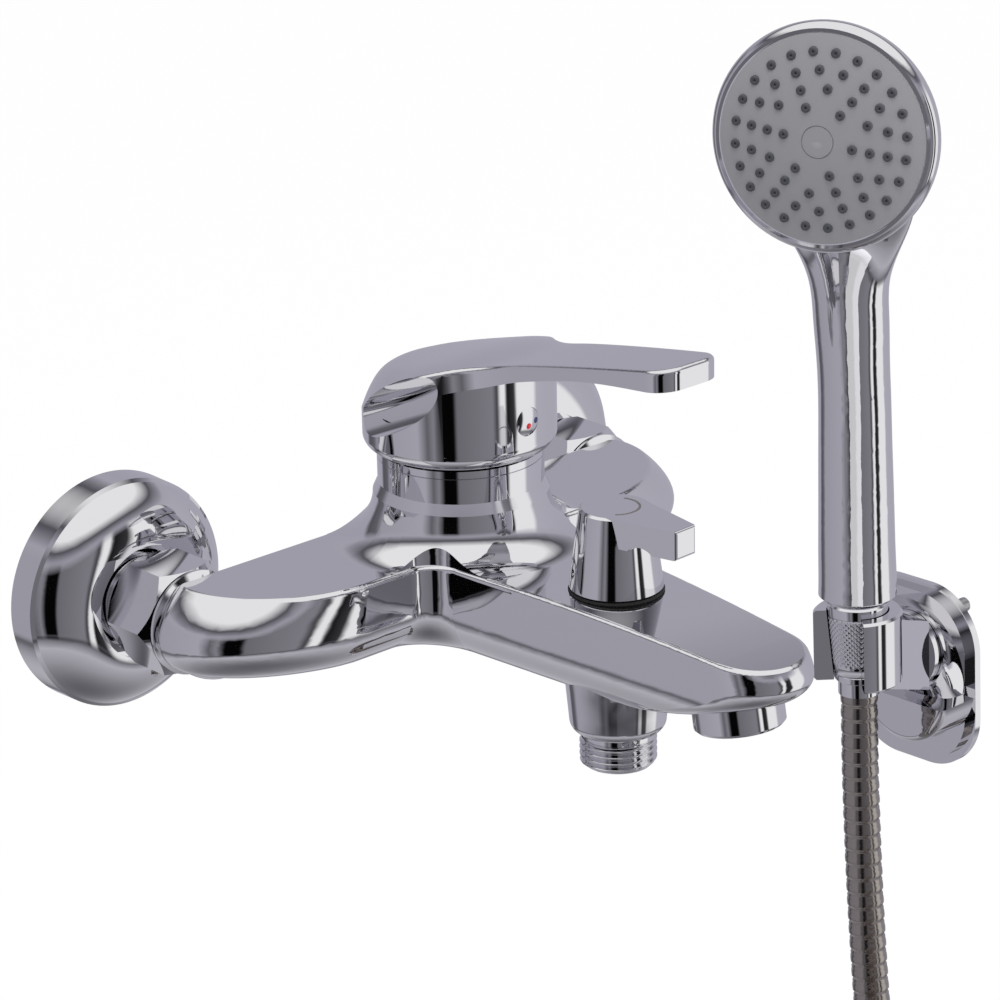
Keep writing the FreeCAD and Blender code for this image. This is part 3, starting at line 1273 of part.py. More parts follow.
def cover_hull():
    """Smooth dome that narrows from the plate to the ring round the clip's flange."""
    end = SET_WALL - PLATE_THICKNESS
    width = PLATE_HALF_WIDTH - PLATE_STEP - 0.2
    sections = [oval(width, width, end, PLATE_Y, PLATE_Z + 1.1),
                oval(width - 1.4, width - 1.6, end - 3.6, 0.88 * PLATE_Y, 0.88 * PLATE_Z),
                oval(width - 6.2, width - 6.6, end - 7.4, 0.48 * PLATE_Y, 0.6 * PLATE_Z),
                oval(COVER_FRONT_R, COVER_FRONT_R, COVER_START, 0, BARREL_Z)]
    return Part.makeLoft(sections, True, False)


def make_shelf():
    """Half-round ledge that stands out of the cover below the barrel."""
    end = SET_WALL - PLATE_THICKNESS - 0.5
    centre_z = SHELF_Z + SHELF_R / 6
    shelf = Part.makeCylinder(SHELF_R, end - SHELF_START, V(SHELF_START, 0, centre_z), X_AXIS)
    shelf = rounded(shelf, SHELF_EDGE_R, lambda edge: edge.BoundBox.XMax < SHELF_START + 0.1)
    above = Part.makeBox(end, 4 * SHELF_R, 2 * SHELF_R, V(SHELF_START - 1, -2 * SHELF_R, SHELF_Z))
    return shelf.cut(above)


def make_cover():
    """Cover over the plate: a dome with the barrel's socket, and a ledge below it."""
    end = SET_WALL - PLATE_THICKNESS
    cover = cover_hull().fuse(make_shelf())
    socket = Part.makeCylinder(BARREL_R + RUNNING_FIT, BARREL_DEPTH + 0.3, V(BARREL_SEAT, 0, BARREL_Z), X_AXIS)
    screw = Part.makeCylinder(PIVOT_SCREW_R + RUNNING_FIT, end, V(0, 0, BARREL_Z), X_AXIS)
    for y, z in wall_screw_places():
        head = Part.makeCylinder(WALL_SCREW_R + 2.2, SCREW_HEAD + 1.2, V(end - SCREW_HEAD - 0.8, y, z), X_AXIS)
        cover = cover.cut(head)
    return in_set(cover.cut(socket).cut(screw))


def web_section(x, half, low, high):
    """Upright rectangle across the clip's web."""
    return Part.makePolygon([V(x, -half, low), V(x, half, low), V(x, half, high), V(x, -half, high), V(x, -half, low)])


def clip_bore_r(z):
    """Radius of the clip's taper bore at this height."""
    slope = (CONE_TOP_R - CONE_BOTTOM_R - 0.3) / (CONE_TOP - 3.2 - CONE_BOTTOM - 4.0)
    return CONE_BOTTOM_R + 0.3 + (z - CONE_BOTTOM - 4.0) * slope + CLIP_INNER_FIT


def make_clip():
    """C-shaped clip on its flange and swivelling barrel, bored to the cone nut's taper."""
    outer_r = CONE_TOP_R + CLIP_INNER_FIT + CLIP_WALL
    clip = revolved([(0, CLIP_BOTTOM), (outer_r - 0.8, CLIP_BOTTOM), (outer_r, CLIP_BOTTOM + 0.8),
                     (outer_r, CLIP_TOP - 0.8), (outer_r - 0.8, CLIP_TOP), (0, CLIP_TOP)])
    sink = 1.2 * BARREL_Z
    clip = clip.fuse(Part.makeLoft([web_section(0, outer_r - 0.6, CLIP_BOTTOM, CLIP_TOP),
                                    web_section(BARREL_SEAT, 0.8 * FLANGE_R, CLIP_BOTTOM + sink, CLIP_TOP + sink)], True, True))
    clip = clip.fuse(Part.makeCylinder(FLANGE_R, FLANGE_THICKNESS, V(BARREL_SEAT, 0, BARREL_Z), X_AXIS))
    clip = clip.fuse(Part.makeCylinder(BARREL_R, BARREL_DEPTH, V(BARREL_SEAT, 0, BARREL_Z), X_AXIS))
    low = CLIP_BOTTOM + sink - 1
    high = CLIP_TOP + 1
    bore = Part.makeCone(clip_bore_r(low), clip_bore_r(high), high - low, V(0, 0, low), Z_AXIS)
    reach = 3 * outer_r
    near = math.radians(CLIP_OPENING_NEAR_DEG)
    far = math.radians(CLIP_OPENING_FAR_DEG)
    wedge = Part.Face(Part.makePolygon([V(0, 0, low), V(-reach * math.cos(far), reach * math.sin(far), low),
                                        V(-reach * math.cos(near), -reach * math.sin(near), low),
                                        V(0, 0, low)])).extrude(V(0, 0, high - low))
    screw = Part.makeCylinder(PIVOT_SCREW_R - 0.3, BARREL_SEAT, V(BARREL_SEAT + BARREL_DEPTH - 6.0, 0, BARREL_Z), X_AXIS)
    return in_set(clip.cut(bore).cut(wedge).cut(screw))


def make_pivot_screw():
    """Screw on which the clip's barrel swivels, driven from behind the cover."""
    start = BARREL_SEAT + BARREL_DEPTH - 5.9
    screw = Part.makeCylinder(PIVOT_SCREW_R - 0.35, SET_WALL - PLATE_THICKNESS - 0.1 - start, V(start, 0, BARREL_Z), X_AXIS)
    return in_set(screw)


def make_wall_screw(k):
    """Wall screw through the plate, with a low head under the cover."""
    y, z = wall_screw_places()[k]
    start = SET_WALL - PLATE_THICKNESS
    thread = Part.makeCylinder(WALL_SCREW_R, WALL_SCREW_LENGTH, V(SET_WALL, y, z), X_AXIS)
    shank = Part.makeCylinder(WALL_SCREW_R - 0.2, PLATE_THICKNESS + 0.1, V(start - 0.1, y, z), X_AXIS)
    head = Part.makeCylinder(WALL_SCREW_R + 2.0, SCREW_HEAD, V(start - SCREW_HEAD, y, z), X_AXIS)
    return in_set(head.fuse(shank).fuse(thread))


SIDES = (("left", -INLET_X), ("right", INLET_X))


def all_pieces():
    """Every sub-part by its node's name."""
    pieces = {"mixer_body": make_body()}
    for name, x in SIDES:
        pieces["union_" + name] = make_union(x)
        pieces["rosette_" + name] = make_rosette(x)
        pieces["union_nut_" + name] = make_union_nut(x)
        pieces["union_gasket_" + name] = make_gasket(x)
    pieces["cartridge_body"] = make_cartridge()
    pieces["cartridge_nut"] = make_cartridge_nut()
    pieces["cartridge_carrier"] = make_carrier()
    pieces["pivot_pin"] = make_pin()
    pieces["lever_stem"] = make_stem()
    pieces["tower_ring"] = make_tower_ring()
    pieces["lever_handle"] = make_lever()
    pieces["lever_screw"] = make_grub_screw()
    pieces["index_plug"] = make_plug()
    pieces["diverter_knob"] = make_knob()
    pieces["diverter_spindle"] = make_spindle()
    pieces["diverter_headwork"] = make_headwork()
    pieces["knob_seal"] = make_knob_seal()
    pieces["shower_nipple"] = make_nipple()
    pieces["aerator_housing"] = make_aerator()
    pieces["aerator_insert"] = make_aerator_insert()
    pieces["aerator_gasket"] = make_aerator_gasket()
    pieces["handset_shell"] = make_handset()
    pieces["handset_face"] = make_face()
    pieces["handset_nozzles"] = make_nozzles()
    pieces["handset_inlet"] = make_handset_inlet()
    pieces["hose_washer"] = make_hose_washer()
    pieces["hose_cone_nut"] = make_cone_nut()
    pieces["hose_ferrule"] = make_ferrule()
    pieces["hose_run"] = make_hose_run()
    pieces["hose_coil"] = make_coil()
    pieces["hose_tie"] = make_tie()
    pieces["hose_end_ferrule"] = make_end_ferrule()
    pieces["hose_end_nut"] = make_end_nut()
    pieces["hose_end_washer"] = make_end_washer()
    pieces["bracket_plate"] = make_plate()
    pieces["bracket_cover"] = make_cover()
    pieces["bracket_clip"] = make_clip()
    pieces["bracket_pivot_screw"] = make_pivot_screw()
    pieces["bracket_wall_screw_upper"] = make_wall_screw(0)
    pieces["bracket_wall_screw_lower"] = make_wall_screw(1)
    return pieces


def main():
    os.makedirs("parts", exist_ok=True)
    for name, shape in all_pieces().items():
        solids = shape.Solids
        if len(solids) != 1 or not shape.isValid():
            print(name, "solids", len(solids), "valid", shape.isValid())
        solid = solids[0] if len(solids) == 1 else shape
        solid.exportStep("parts/" + name + ".step")
        print(name, "volume", round(solid.Volume, 1))


main()
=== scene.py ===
import logging
import math
from dataclasses import dataclass
from enum import Enum
from typing import Callable, Sequence

import bpy
from mathutils import Matrix, Vector


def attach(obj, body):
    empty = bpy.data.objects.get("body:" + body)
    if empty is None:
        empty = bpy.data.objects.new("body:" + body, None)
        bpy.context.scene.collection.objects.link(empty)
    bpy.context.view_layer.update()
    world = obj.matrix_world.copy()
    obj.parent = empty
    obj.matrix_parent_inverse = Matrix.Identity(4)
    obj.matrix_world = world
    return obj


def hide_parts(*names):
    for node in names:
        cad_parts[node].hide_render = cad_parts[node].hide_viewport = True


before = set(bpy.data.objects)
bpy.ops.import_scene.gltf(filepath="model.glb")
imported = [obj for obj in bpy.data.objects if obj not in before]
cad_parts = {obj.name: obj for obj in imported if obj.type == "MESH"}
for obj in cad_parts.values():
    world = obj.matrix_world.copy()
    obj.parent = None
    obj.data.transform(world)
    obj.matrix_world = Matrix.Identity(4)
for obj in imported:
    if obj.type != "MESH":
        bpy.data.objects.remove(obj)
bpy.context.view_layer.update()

log = logging.getLogger("bath_mixer")
MM = 0.001
Point = tuple[float, float]
Displace = Callable[[float, float, float], float]


def linear(code: str) -> tuple[float, float, float, float]:
    """Turns an sRGB hex colour into linear light.

    Args:
        code: Six hex digits after a hash.

    Returns:
        Red, green, blue and an alpha of 1.
    """
    shares = [int(code[k:k + 2], 16) / 255 for k in (1, 3, 5)]
    light = [c / 12.92 if c <= 0.04045 else ((c + 0.055) / 1.055) ** 2.4 for c in shares]
    return (light[0], light[1], light[2], 1.0)


def add(tree: bpy.types.NodeTree, kind: str, values: dict | None = None, links: dict | None = None,
        **settings: object) -> bpy.types.Node:
    """Adds a node with its settings, values and links.

    Args:
        tree: Node tree that gets the node.
        kind: Blender's identifier of the node.
        values: Value of each input, by its name or number.
        links: Output that feeds each input, by the input's name or number.
        settings: Properties of the node itself.

    Returns:
        The new node.
    """
    node = tree.nodes.new(kind)
    for key, value in settings.items():
        setattr(node, key, value)
    for key, value in (values or {}).items():
        node.inputs[key].default_value = value
    for key, source in (links or {}).items():
        tree.links.new(source, node.inputs[key])
    return node


def ramp(tree: bpy.types.NodeTree, source: bpy.types.NodeSocket,
         stops: Sequence[tuple[float, str]]) -> bpy.types.Node:
    """Adds a colour ramp.

    Args:
        tree: Node tree that gets the ramp.
        source: Output that drives it.
        stops: Position and hex colour of each stop, in order.

    Returns:
        The ramp's node.
    """
    node = add(tree, "ShaderNodeValToRGB", links={0: source})
    band = node.color_ramp
    while len(band.elements) < len(stops):
        band.elements.new(1.0)
    for element, (place, code) in zip(band.elements, stops):
        element.position = place
        element.color = linear(code)
    return node


class Surface(Enum):
    """How a surface was made, which sets its fine pattern."""

    PLATED = "plated"
    TURNED = "turned"
    WOUND = "wound"
    MOULDED = "moulded"
    PRINTED = "printed"


@dataclass(frozen=True)
class Finish:
    """One real finish: its colour, its gloss and the size of its fine pattern.

    Attributes:
        name: Common name of the material and its surface.
        colour: Body colour as an sRGB hex value.
        metallic: 1 for metal, 0 for plastic, rubber and paint.
        roughness: Middle of the roughness range.
        spread: How far the roughness varies either way.
        surface: How the surface was made.
        grain_mm: Size of the pattern's grains or tool marks.
        relief_mm: Height of the pattern.
    """

    name: str
    colour: str
    metallic: float
    roughness: float
    spread: float
    surface: Surface
    grain_mm: float
    relief_mm: float

    def build(self) -> bpy.types.Material:
        """Builds the material's node tree.

        Returns:
            The material, ready to assign.
        """
        material = bpy.data.materials.new(self.name)
        material.use_nodes = True
        material.diffuse_color = linear(self.colour)
        tree = material.node_tree
        shader = tree.nodes["Principled BSDF"]
        shader.inputs["Base Color"].default_value = linear(self.colour)
        shader.inputs["Metallic"].default_value = self.metallic
        place = add(tree, "ShaderNodeTexCoord").outputs["Object"]
        grain = add(tree, "ShaderNodeTexNoise", {"Scale": 1 / (self.grain_mm * MM), "Detail": 3.0},
                    {"Vector": place})
        low = max(0.0, self.roughness - self.spread)
        rough = add(tree, "ShaderNodeMapRange", {"To Min": low, "To Max": self.roughness + self.spread},
                    {"Value": grain.outputs["Fac"]})
        tree.links.new(rough.outputs[0], shader.inputs["Roughness"])
        height = grain.outputs["Fac"]
        if self.surface is Surface.TURNED:
            marks = add(tree, "ShaderNodeTexWave", {"Scale": 0.3 / (self.grain_mm * MM), "Distortion": 0.4},
                        {"Vector": place}, bands_direction="Z")
            height = marks.outputs["Fac"]
        bump = add(tree, "ShaderNodeBump", {"Strength": 1.0, "Distance": self.relief_mm * MM},
                   {"Height": height})
        tree.links.new(bump.outputs[0], shader.inputs["Normal"])
        return material


# Bright chromium over polished brass: near mirror, with a faint long ripple left by the polishing wheel.
CHROME_ON_BRASS = Finish(
    "polished_chrome_on_brass", "#E0DFE2", 1.0, 0.035, 0.012, Surface.PLATED, 9.0, 0.0012)
# Chromium over moulded ABS: the same mirror, a little softer where the mould was.
CHROME_ON_ABS = Finish("chrome_plated_abs", "#DFDEE1", 1.0, 0.045, 0.015, Surface.PLATED, 14.0, 0.002)
# Turned brass keeps fine rings from the lathe tool and a dull yellow.
TURNED_BRASS = Finish("turned_brass", "#C9A860", 1.0, 0.3, 0.06, Surface.TURNED, 0.4, 0.01)
# Zinc-plated steel of screws and pins, slightly dull.
PLATED_STEEL = Finish("zinc_plated_steel", "#AFAFB1", 1.0, 0.34, 0.08, Surface.PLATED, 1.2, 0.006)
# Stainless strip wound into the hose: warmer than chrome as real stainless, and darker than chrome as painted
# shade of its folds, which trap the light.
WOUND_STEEL_FOLD_SHADED = Finish("wound_stainless_strip", "#A49D98", 1.0, 0.2, 0.05, Surface.WOUND, 1.5, 0.006)
# EPDM rubber: dead matt black with a fine bloom.
RUBBER = Finish("epdm_rubber", "#161617", 0.0, 0.62, 0.1, Surface.MOULDED, 0.8, 0.02)
# Silicone of the spray nozzles: dark grey, smooth and slightly waxy.
SILICONE = Finish("silicone_rubber", "#46474C", 0.0, 0.45, 0.06, Surface.MOULDED, 0.6, 0.008)
# Spray face moulded in ABS and sprayed satin grey.
SATIN_ABS = Finish("satin_grey_abs", "#8E8E91", 0.0, 0.38, 0.05, Surface.MOULDED, 0.5, 0.004)
# Acetal of the cartridge and jet former: milky white with a slight sheen.
ACETAL = Finish("acetal", "#DEDDD6", 0.0, 0.4, 0.05, Surface.MOULDED, 1.0, 0.006)
# Enamel dots of the index plug.
RED_ENAMEL = Finish("red_enamel", "#C01A1E", 0.0, 0.18, 0.03, Surface.PRINTED, 0.6, 0.002)
BLUE_ENAMEL = Finish("blue_enamel", "#1B2A57", 0.0, 0.18, 0.03, Surface.PRINTED, 0.6, 0.002)
# Ink of the turning mark, burnt on in a brownish grey.
ARROW_INK = Finish("burnt_on_ink", "#76706F", 0.0, 0.5, 0.05, Surface.PRINTED, 0.3, 0.002)

FINISHES = {finish.name: finish.build() for finish in (
    CHROME_ON_BRASS, CHROME_ON_ABS, TURNED_BRASS, PLATED_STEEL, WOUND_STEEL_FOLD_SHADED, RUBBER, SILICONE, SATIN_ABS,
    ACETAL, RED_ENAMEL, BLUE_ENAMEL, ARROW_INK)}


def dress(finish: Finish, *nodes: str) -> None:
    """Gives CAD nodes a finish.

    Args:
        finish: Finish that all of them get.
        nodes: Names of the nodes.
    """
    for name in nodes:
        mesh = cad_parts[name].data
        mesh.materials.clear()
        mesh.materials.append(FINISHES[finish.name])
        log.info("%s in %s", name, finish.name)


def new_piece(name: str, mesh: bpy.types.Mesh, finish: Finish, body: str) -> bpy.types.Object:
    """Puts a mesh into the scene as a piece of the object.

    Args:
        name: Name of the piece.
        mesh: Its mesh, already in place.
        finish: Its finish.
        body: CAD body that it rides on.

    Returns:
        The new object.
    """
    mesh.name = name
    mesh.materials.clear()
    mesh.materials.append(FINISHES[finish.name])
    piece = bpy.data.objects.new(name, mesh)
    bpy.context.scene.collection.objects.link(piece)
    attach(piece, body)
    log.info("%s rides on %s: %d faces", name, body, len(mesh.polygons))
    return piece


def mesh_of(points: Sequence[Vector], faces: Sequence[Sequence[int]],
            crease_deg: float = 30.0) -> bpy.types.Mesh:
    """Makes a smooth-shaded mesh with its sharp edges marked.

    Args:
        points: Corners in metres.
        faces: Corner numbers of each face.
        crease_deg: Angle past which an edge stays sharp.

    Returns:
        The mesh.
    """
    mesh = bpy.data.meshes.new("made")
    mesh.from_pydata([tuple(p) for p in points], [], [tuple(f) for f in faces])
    mesh.update()
    mesh.polygons.foreach_set("use_smooth", [True] * len(mesh.polygons))
    mesh.set_sharp_from_angle(angle=math.radians(crease_deg))
    return mesh


def lathe(profile: Sequence[Point], segments: int, place: Matrix, displace: Displace | None = None,
          crease_deg: float = 30.0) -> bpy.types.Mesh:
    """Turns a closed profile round the Z axis.

    Args:
        profile: Radius and height of each corner in millimetres, anticlockwise right of the axis.
        segments: Faces round the axis.
        place: Where the turned piece stands, in millimetres.
        displace: Change of radius for a radius, height and angle.
        crease_deg: Angle past which an edge stays sharp.

    Returns:
        The mesh in metres.
    """
    points = []
    for radius, height in profile:
        for k in range(segments):
            angle = 2 * math.pi * k / segments
            r = radius + (displace(radius, height, angle) if displace else 0.0)
            points.append((place @ Vector((r * math.cos(angle), r * math.sin(angle), height))) * MM)
    faces = []
    count = len(profile)
    for i in range(count):
        j = (i + 1) % count
        for k in range(segments):
            n = (k + 1) % segments
            faces.append((i * segments + k, i * segments + n, j * segments + n, j * segments + k))
    return mesh_of(points, faces, crease_deg)


def steps(low: float, high: float, count: int) -> list[float]:
    """Evenly spaced values from low to high, both included."""
    return [low + (high - low) * k / count for k in range(count + 1)]


# What chrome mirrors round the object: degrees from the camera's side towards the right, and colour.
STRIPS = (
    (-180, "#AEADB9"), (-140, "#AEADB9"), (-134, "#5C5B60"), (-122, "#6A6970"), (-112, "#A9A8B2"),
    (-50, "#B4B3BD"), (-38, "#6B6A70"), (-30, "#8E8D94"), (-22, "#060607"), (-6, "#060607"),
    (-2, "#77767C"), (40, "#8A8990"), (46, "#3A393C"), (50, "#FFFFFF"), (55, "#FFFFFF"), (58, "#1A1A1C"),
    (68, "#3A393C"), (72, "#FFFFFF"), (98, "#FFFFFF"), (104, "#BFBEC8"), (180, "#AEADB9"))
# What it mirrors below and above the strips, from straight down at 0 to straight up at 1.
LEVELS = (
    (0.0, "#6C6B70"), (0.08, "#A5A4AA"), (0.16, "#C2C1C8"), (0.205, "#8A8990"), (0.225, "#2A2A2D"),
    (0.26, "#B4B3BA"), (0.72, "#B4B3BD"), (0.8, "#5A5960"), (0.87, "#FFFFFF"), (1.0, "#FFFFFF"))
# Heights that the strips reach, black where they don't.
REACH = ((0.0, "#000000"), (0.21, "#000000"), (0.25, "#FFFFFF"), (0.66, "#FFFFFF"), (0.74, "#000000"))


@dataclass(frozen=True)
class Lamp:
    """Soft square lamp that faces the object.

    Attributes:
        name: Name of the lamp.
        place: Where it hangs, in metres.
        side: Length of its side in metres.
        power: Power in watts.
    """

    name: str
    place: tuple[float, float, float]
    side: float
    power: float


@dataclass
class Studio:
    """Camera, floor, lamps and the surroundings that the chrome reflects.

    Attributes:
        eye_mm: Place of the camera.
        yaw: Turn of the view from +Y towards +X, in radians.
        pitch: Fall of the view below the horizon, in radians.
        roll: Turn round the view's own axis, in radians.
        lens_mm: Focal length.
        sensor_mm: Width of the frame that the lens is given for.
        sight_m: Distance that the camera sees.
        floor_mm: Height of the floor.
        floor_half_m: Half of the floor's side.
        floor_white: Share of plain white that the camera sees of the floor, the rest being its shade.
        hung: Soft key from the right and a weaker lamp from above.
        card_size: Width and height of the card that the hand shower reflects, in metres.
        card_aim: Point that the card faces, one metre away from it.
        card_aside_deg: Turn of the card's place from the camera's side towards the right.
        card_power: Power of the card in watts.
    """

    eye_mm: tuple[float, float, float] = (-686.1457, -839.9297, 411.1439)
    yaw: float = 0.7337813
    pitch: float = 0.3600010
    roll: float = -0.0220392
    lens_mm: float = 145.24
    sensor_mm: float = 36.0
    sight_m: float = 20.0
    floor_mm: float = -420.0
    floor_half_m: float = 6.0
    floor_white: float = 0.97
    hung: tuple[Lamp, ...] = (
        Lamp("key", (1.3, -1.5, 0.6), 0.9, 26.0), Lamp("top", (-0.2, -0.4, 1.8), 1.2, 22.0))
    card_size: tuple[float, float] = (0.6, 0.8)
    card_aim: tuple[float, float, float] = (0.185, -0.04, 0.0)
    card_aside_deg: float = -6.0
    card_power: float = 1.1

    def build(self) -> None:
        """Builds everything that isn't part of the object."""
        for name in ("Cube", "Light", "Camera"):
            left_over = bpy.data.objects.get(name)
            if left_over:
                bpy.data.objects.remove(left_over)
        bpy.context.scene.view_settings.view_transform = "Standard"
        self.camera()
        self.surroundings()
        self.floor()
        self.lamps()
        self.card("handset_shell")

    def camera(self) -> None:
        """Places the camera where the photograph was taken from."""
        data = bpy.data.cameras.new("camera")
        data.lens = self.lens_mm
        data.sensor_width = self.sensor_mm
        data.clip_end = self.sight_m
        camera = bpy.data.objects.new("camera", data)
        bpy.context.scene.collection.objects.link(camera)
        ahead = Vector((math.sin(self.yaw) * math.cos(self.pitch),
                        math.cos(self.yaw) * math.cos(self.pitch), -math.sin(self.pitch)))
        level = Vector((math.cos(self.yaw), -math.sin(self.yaw), 0))
        up = level.cross(ahead)
        right = math.cos(self.roll) * level + math.sin(self.roll) * up
        up = right.cross(ahead)
        turn = Matrix((right, up, -ahead)).transposed().to_4x4()
        camera.matrix_world = Matrix.Translation(Vector(self.eye_mm) * MM) @ turn
        bpy.context.scene.camera = camera

    def surroundings(self) -> None:
        """World: white to the camera, and to chrome a grey studio with light and dark strips."""
        world = bpy.data.worlds.new("studio")
        bpy.context.scene.world = world
        world.use_nodes = True
        tree = world.node_tree
        tree.nodes.clear()
        path = add(tree, "ShaderNodeLightPath")
        mirrored = add(tree, "ShaderNodeMath", operation="MAXIMUM", links={
            0: path.outputs["Is Glossy Ray"], 1: path.outputs["Is Transmission Ray"]})
        plain = add(tree, "ShaderNodeBackground", {"Color": linear("#F4F4F6"), "Strength": 0.8})
        mirror = add(tree, "ShaderNodeBackground", {"Strength": 1.0}, {"Color": self.mirrored_colour(tree)})
        white = add(tree, "ShaderNodeBackground", {"Color": linear("#FFFFFF"), "Strength": 1.0})
        lit = add(tree, "ShaderNodeMixShader", links={0: mirrored.outputs[0], 1: plain.outputs[0],
                                                      2: mirror.outputs[0]})
        shown = add(tree, "ShaderNodeMixShader", links={0: path.outputs["Is Camera Ray"], 1: lit.outputs[0],
                                                        2: white.outputs[0]})
        add(tree, "ShaderNodeOutputWorld", links={"Surface": shown.outputs[0]})

    def mirrored_colour(self, tree: bpy.types.NodeTree) -> bpy.types.NodeSocket:
        """Colour that chrome mirrors in each direction.

        Args:
            tree: Node tree of the world.

        Returns:
            Output that holds the colour.
        """
        way = add(tree, "ShaderNodeTexCoord").outputs["Generated"]
        turned = add(tree, "ShaderNodeMapping", {"Rotation": (0.0, 0.0, self.yaw)}, {"Vector": way})
        parts = add(tree, "ShaderNodeSeparateXYZ", links={0: turned.outputs[0]})
        back = add(tree, "ShaderNodeMath", {1: -1.0}, {0: parts.outputs["Y"]}, operation="MULTIPLY")
        around = add(tree, "ShaderNodeMath", links={0: parts.outputs["X"], 1: back.outputs[0]},
                     operation="ARCTAN2")
        share = add(tree, "ShaderNodeMapRange", {"From Min": -math.pi, "From Max": math.pi},
                    {"Value": around.outputs[0]})
        strips = ramp(tree, share.outputs[0], [((angle + 180) / 360, code) for angle, code in STRIPS])
        tall = add(tree, "ShaderNodeMapRange", {"From Min": -1.0}, {"Value": parts.outputs["Z"]})
        levels = ramp(tree, tall.outputs[0], LEVELS)
        reach = ramp(tree, tall.outputs[0], REACH)
        seen = add(tree, "ShaderNodeMix", links={"Factor": reach.outputs[0], 6: levels.outputs[0],
                                                 7: strips.outputs[0]}, data_type="RGBA")
        return seen.outputs[2]

    def floor(self) -> None:
        """Pale floor under the object, white to the camera apart from its shadow."""
        half = self.floor_half_m
        height = self.floor_mm * MM
        corners = [Vector((x * half, y * half, height)) for x, y in ((-1, -1), (1, -1), (1, 1), (-1, 1))]
        mesh = mesh_of(corners, [(0, 1, 2, 3)])
        floor = bpy.data.objects.new("floor", mesh)
        bpy.context.scene.collection.objects.link(floor)
        material = bpy.data.materials.new("pale_floor")
        material.use_nodes = True
        tree = material.node_tree
        shader = tree.nodes["Principled BSDF"]
        shader.inputs["Base Color"].default_value = linear("#F2F2F4")
        shader.inputs["Roughness"].default_value = 0.9
        path = add(tree, "ShaderNodeLightPath")
        glow = add(tree, "ShaderNodeEmission", {"Color": linear("#FFFFFF"), "Strength": 1.0})
        share = add(tree, "ShaderNodeMath", {1: self.floor_white}, {0: path.outputs["Is Camera Ray"]},
                    operation="MULTIPLY")
        mixed = add(tree, "ShaderNodeMixShader", links={0: share.outputs[0], 1: shader.outputs[0],
                                                        2: glow.outputs[0]})
        tree.links.new(mixed.outputs[0], tree.nodes["Material Output"].inputs["Surface"])
        mesh.materials.append(material)
        floor.visible_glossy = False

    def lamps(self) -> None:
        """Hangs the soft lamps, which chrome doesn't mirror."""
        for lamp in self.hung:
            placed = self.area_lamp(lamp.name, Vector(lamp.place), -Vector(lamp.place), lamp.power)
            placed.data.size = lamp.side
            placed.visible_glossy = False

    def card(self, *nodes: str) -> None:
        """Tall bright card that only the hand shower reflects, as a band down its handle.

        Args:
            nodes: CAD nodes that reflect the card.
        """
        aside = math.radians(self.card_aside_deg) - self.yaw
        reach = Vector((math.sin(aside), -math.cos(aside), -math.tan(self.pitch)))
        card = self.area_lamp("card", Vector(self.card_aim) + reach, -reach, self.card_power)
        card.data.shape = "RECTANGLE"
        card.data.size, card.data.size_y = self.card_size
        seen_in = bpy.data.collections.new("seen_in")
        for name in nodes:
            seen_in.objects.link(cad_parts[name])
        card.light_linking.receiver_collection = seen_in

    @staticmethod
    def area_lamp(name: str, place: Vector, way: Vector, power: float) -> bpy.types.Object:
        """Hangs an area lamp.

        Args:
            name: Name of the lamp.
            place: Where it hangs, in metres.
            way: Direction in which it shines.
            power: Power in watts.

        Returns:
            The lamp's object.
        """
        data = bpy.data.lights.new(name, "AREA")
        data.energy = power
        lamp = bpy.data.objects.new(name, data)
        lamp.location = place
        lamp.rotation_mode = "QUATERNION"
        lamp.rotation_quaternion = way.to_track_quat("-Z", "Y")
        bpy.context.scene.collection.objects.link(lamp)
        return lamp


@dataclass
class Mixer:
    """Cast body with its unions, rosettes, cartridge and aerator."""

    def build(self) -> None:
        """Dresses the body and what is screwed to it."""
        dress(CHROME_ON_BRASS, "mixer_body", "tower_ring", "aerator_housing", "rosette_left", "rosette_right",
              "union_nut_left", "union_nut_right", "union_left", "union_right")
        dress(TURNED_BRASS, "cartridge_nut", "diverter_headwork", "diverter_spindle")
        dress(ACETAL, "cartridge_body", "cartridge_carrier", "aerator_insert")
        dress(RUBBER, "union_gasket_left", "union_gasket_right", "knob_seal", "aerator_gasket")
        dress(PLATED_STEEL, "pivot_pin")


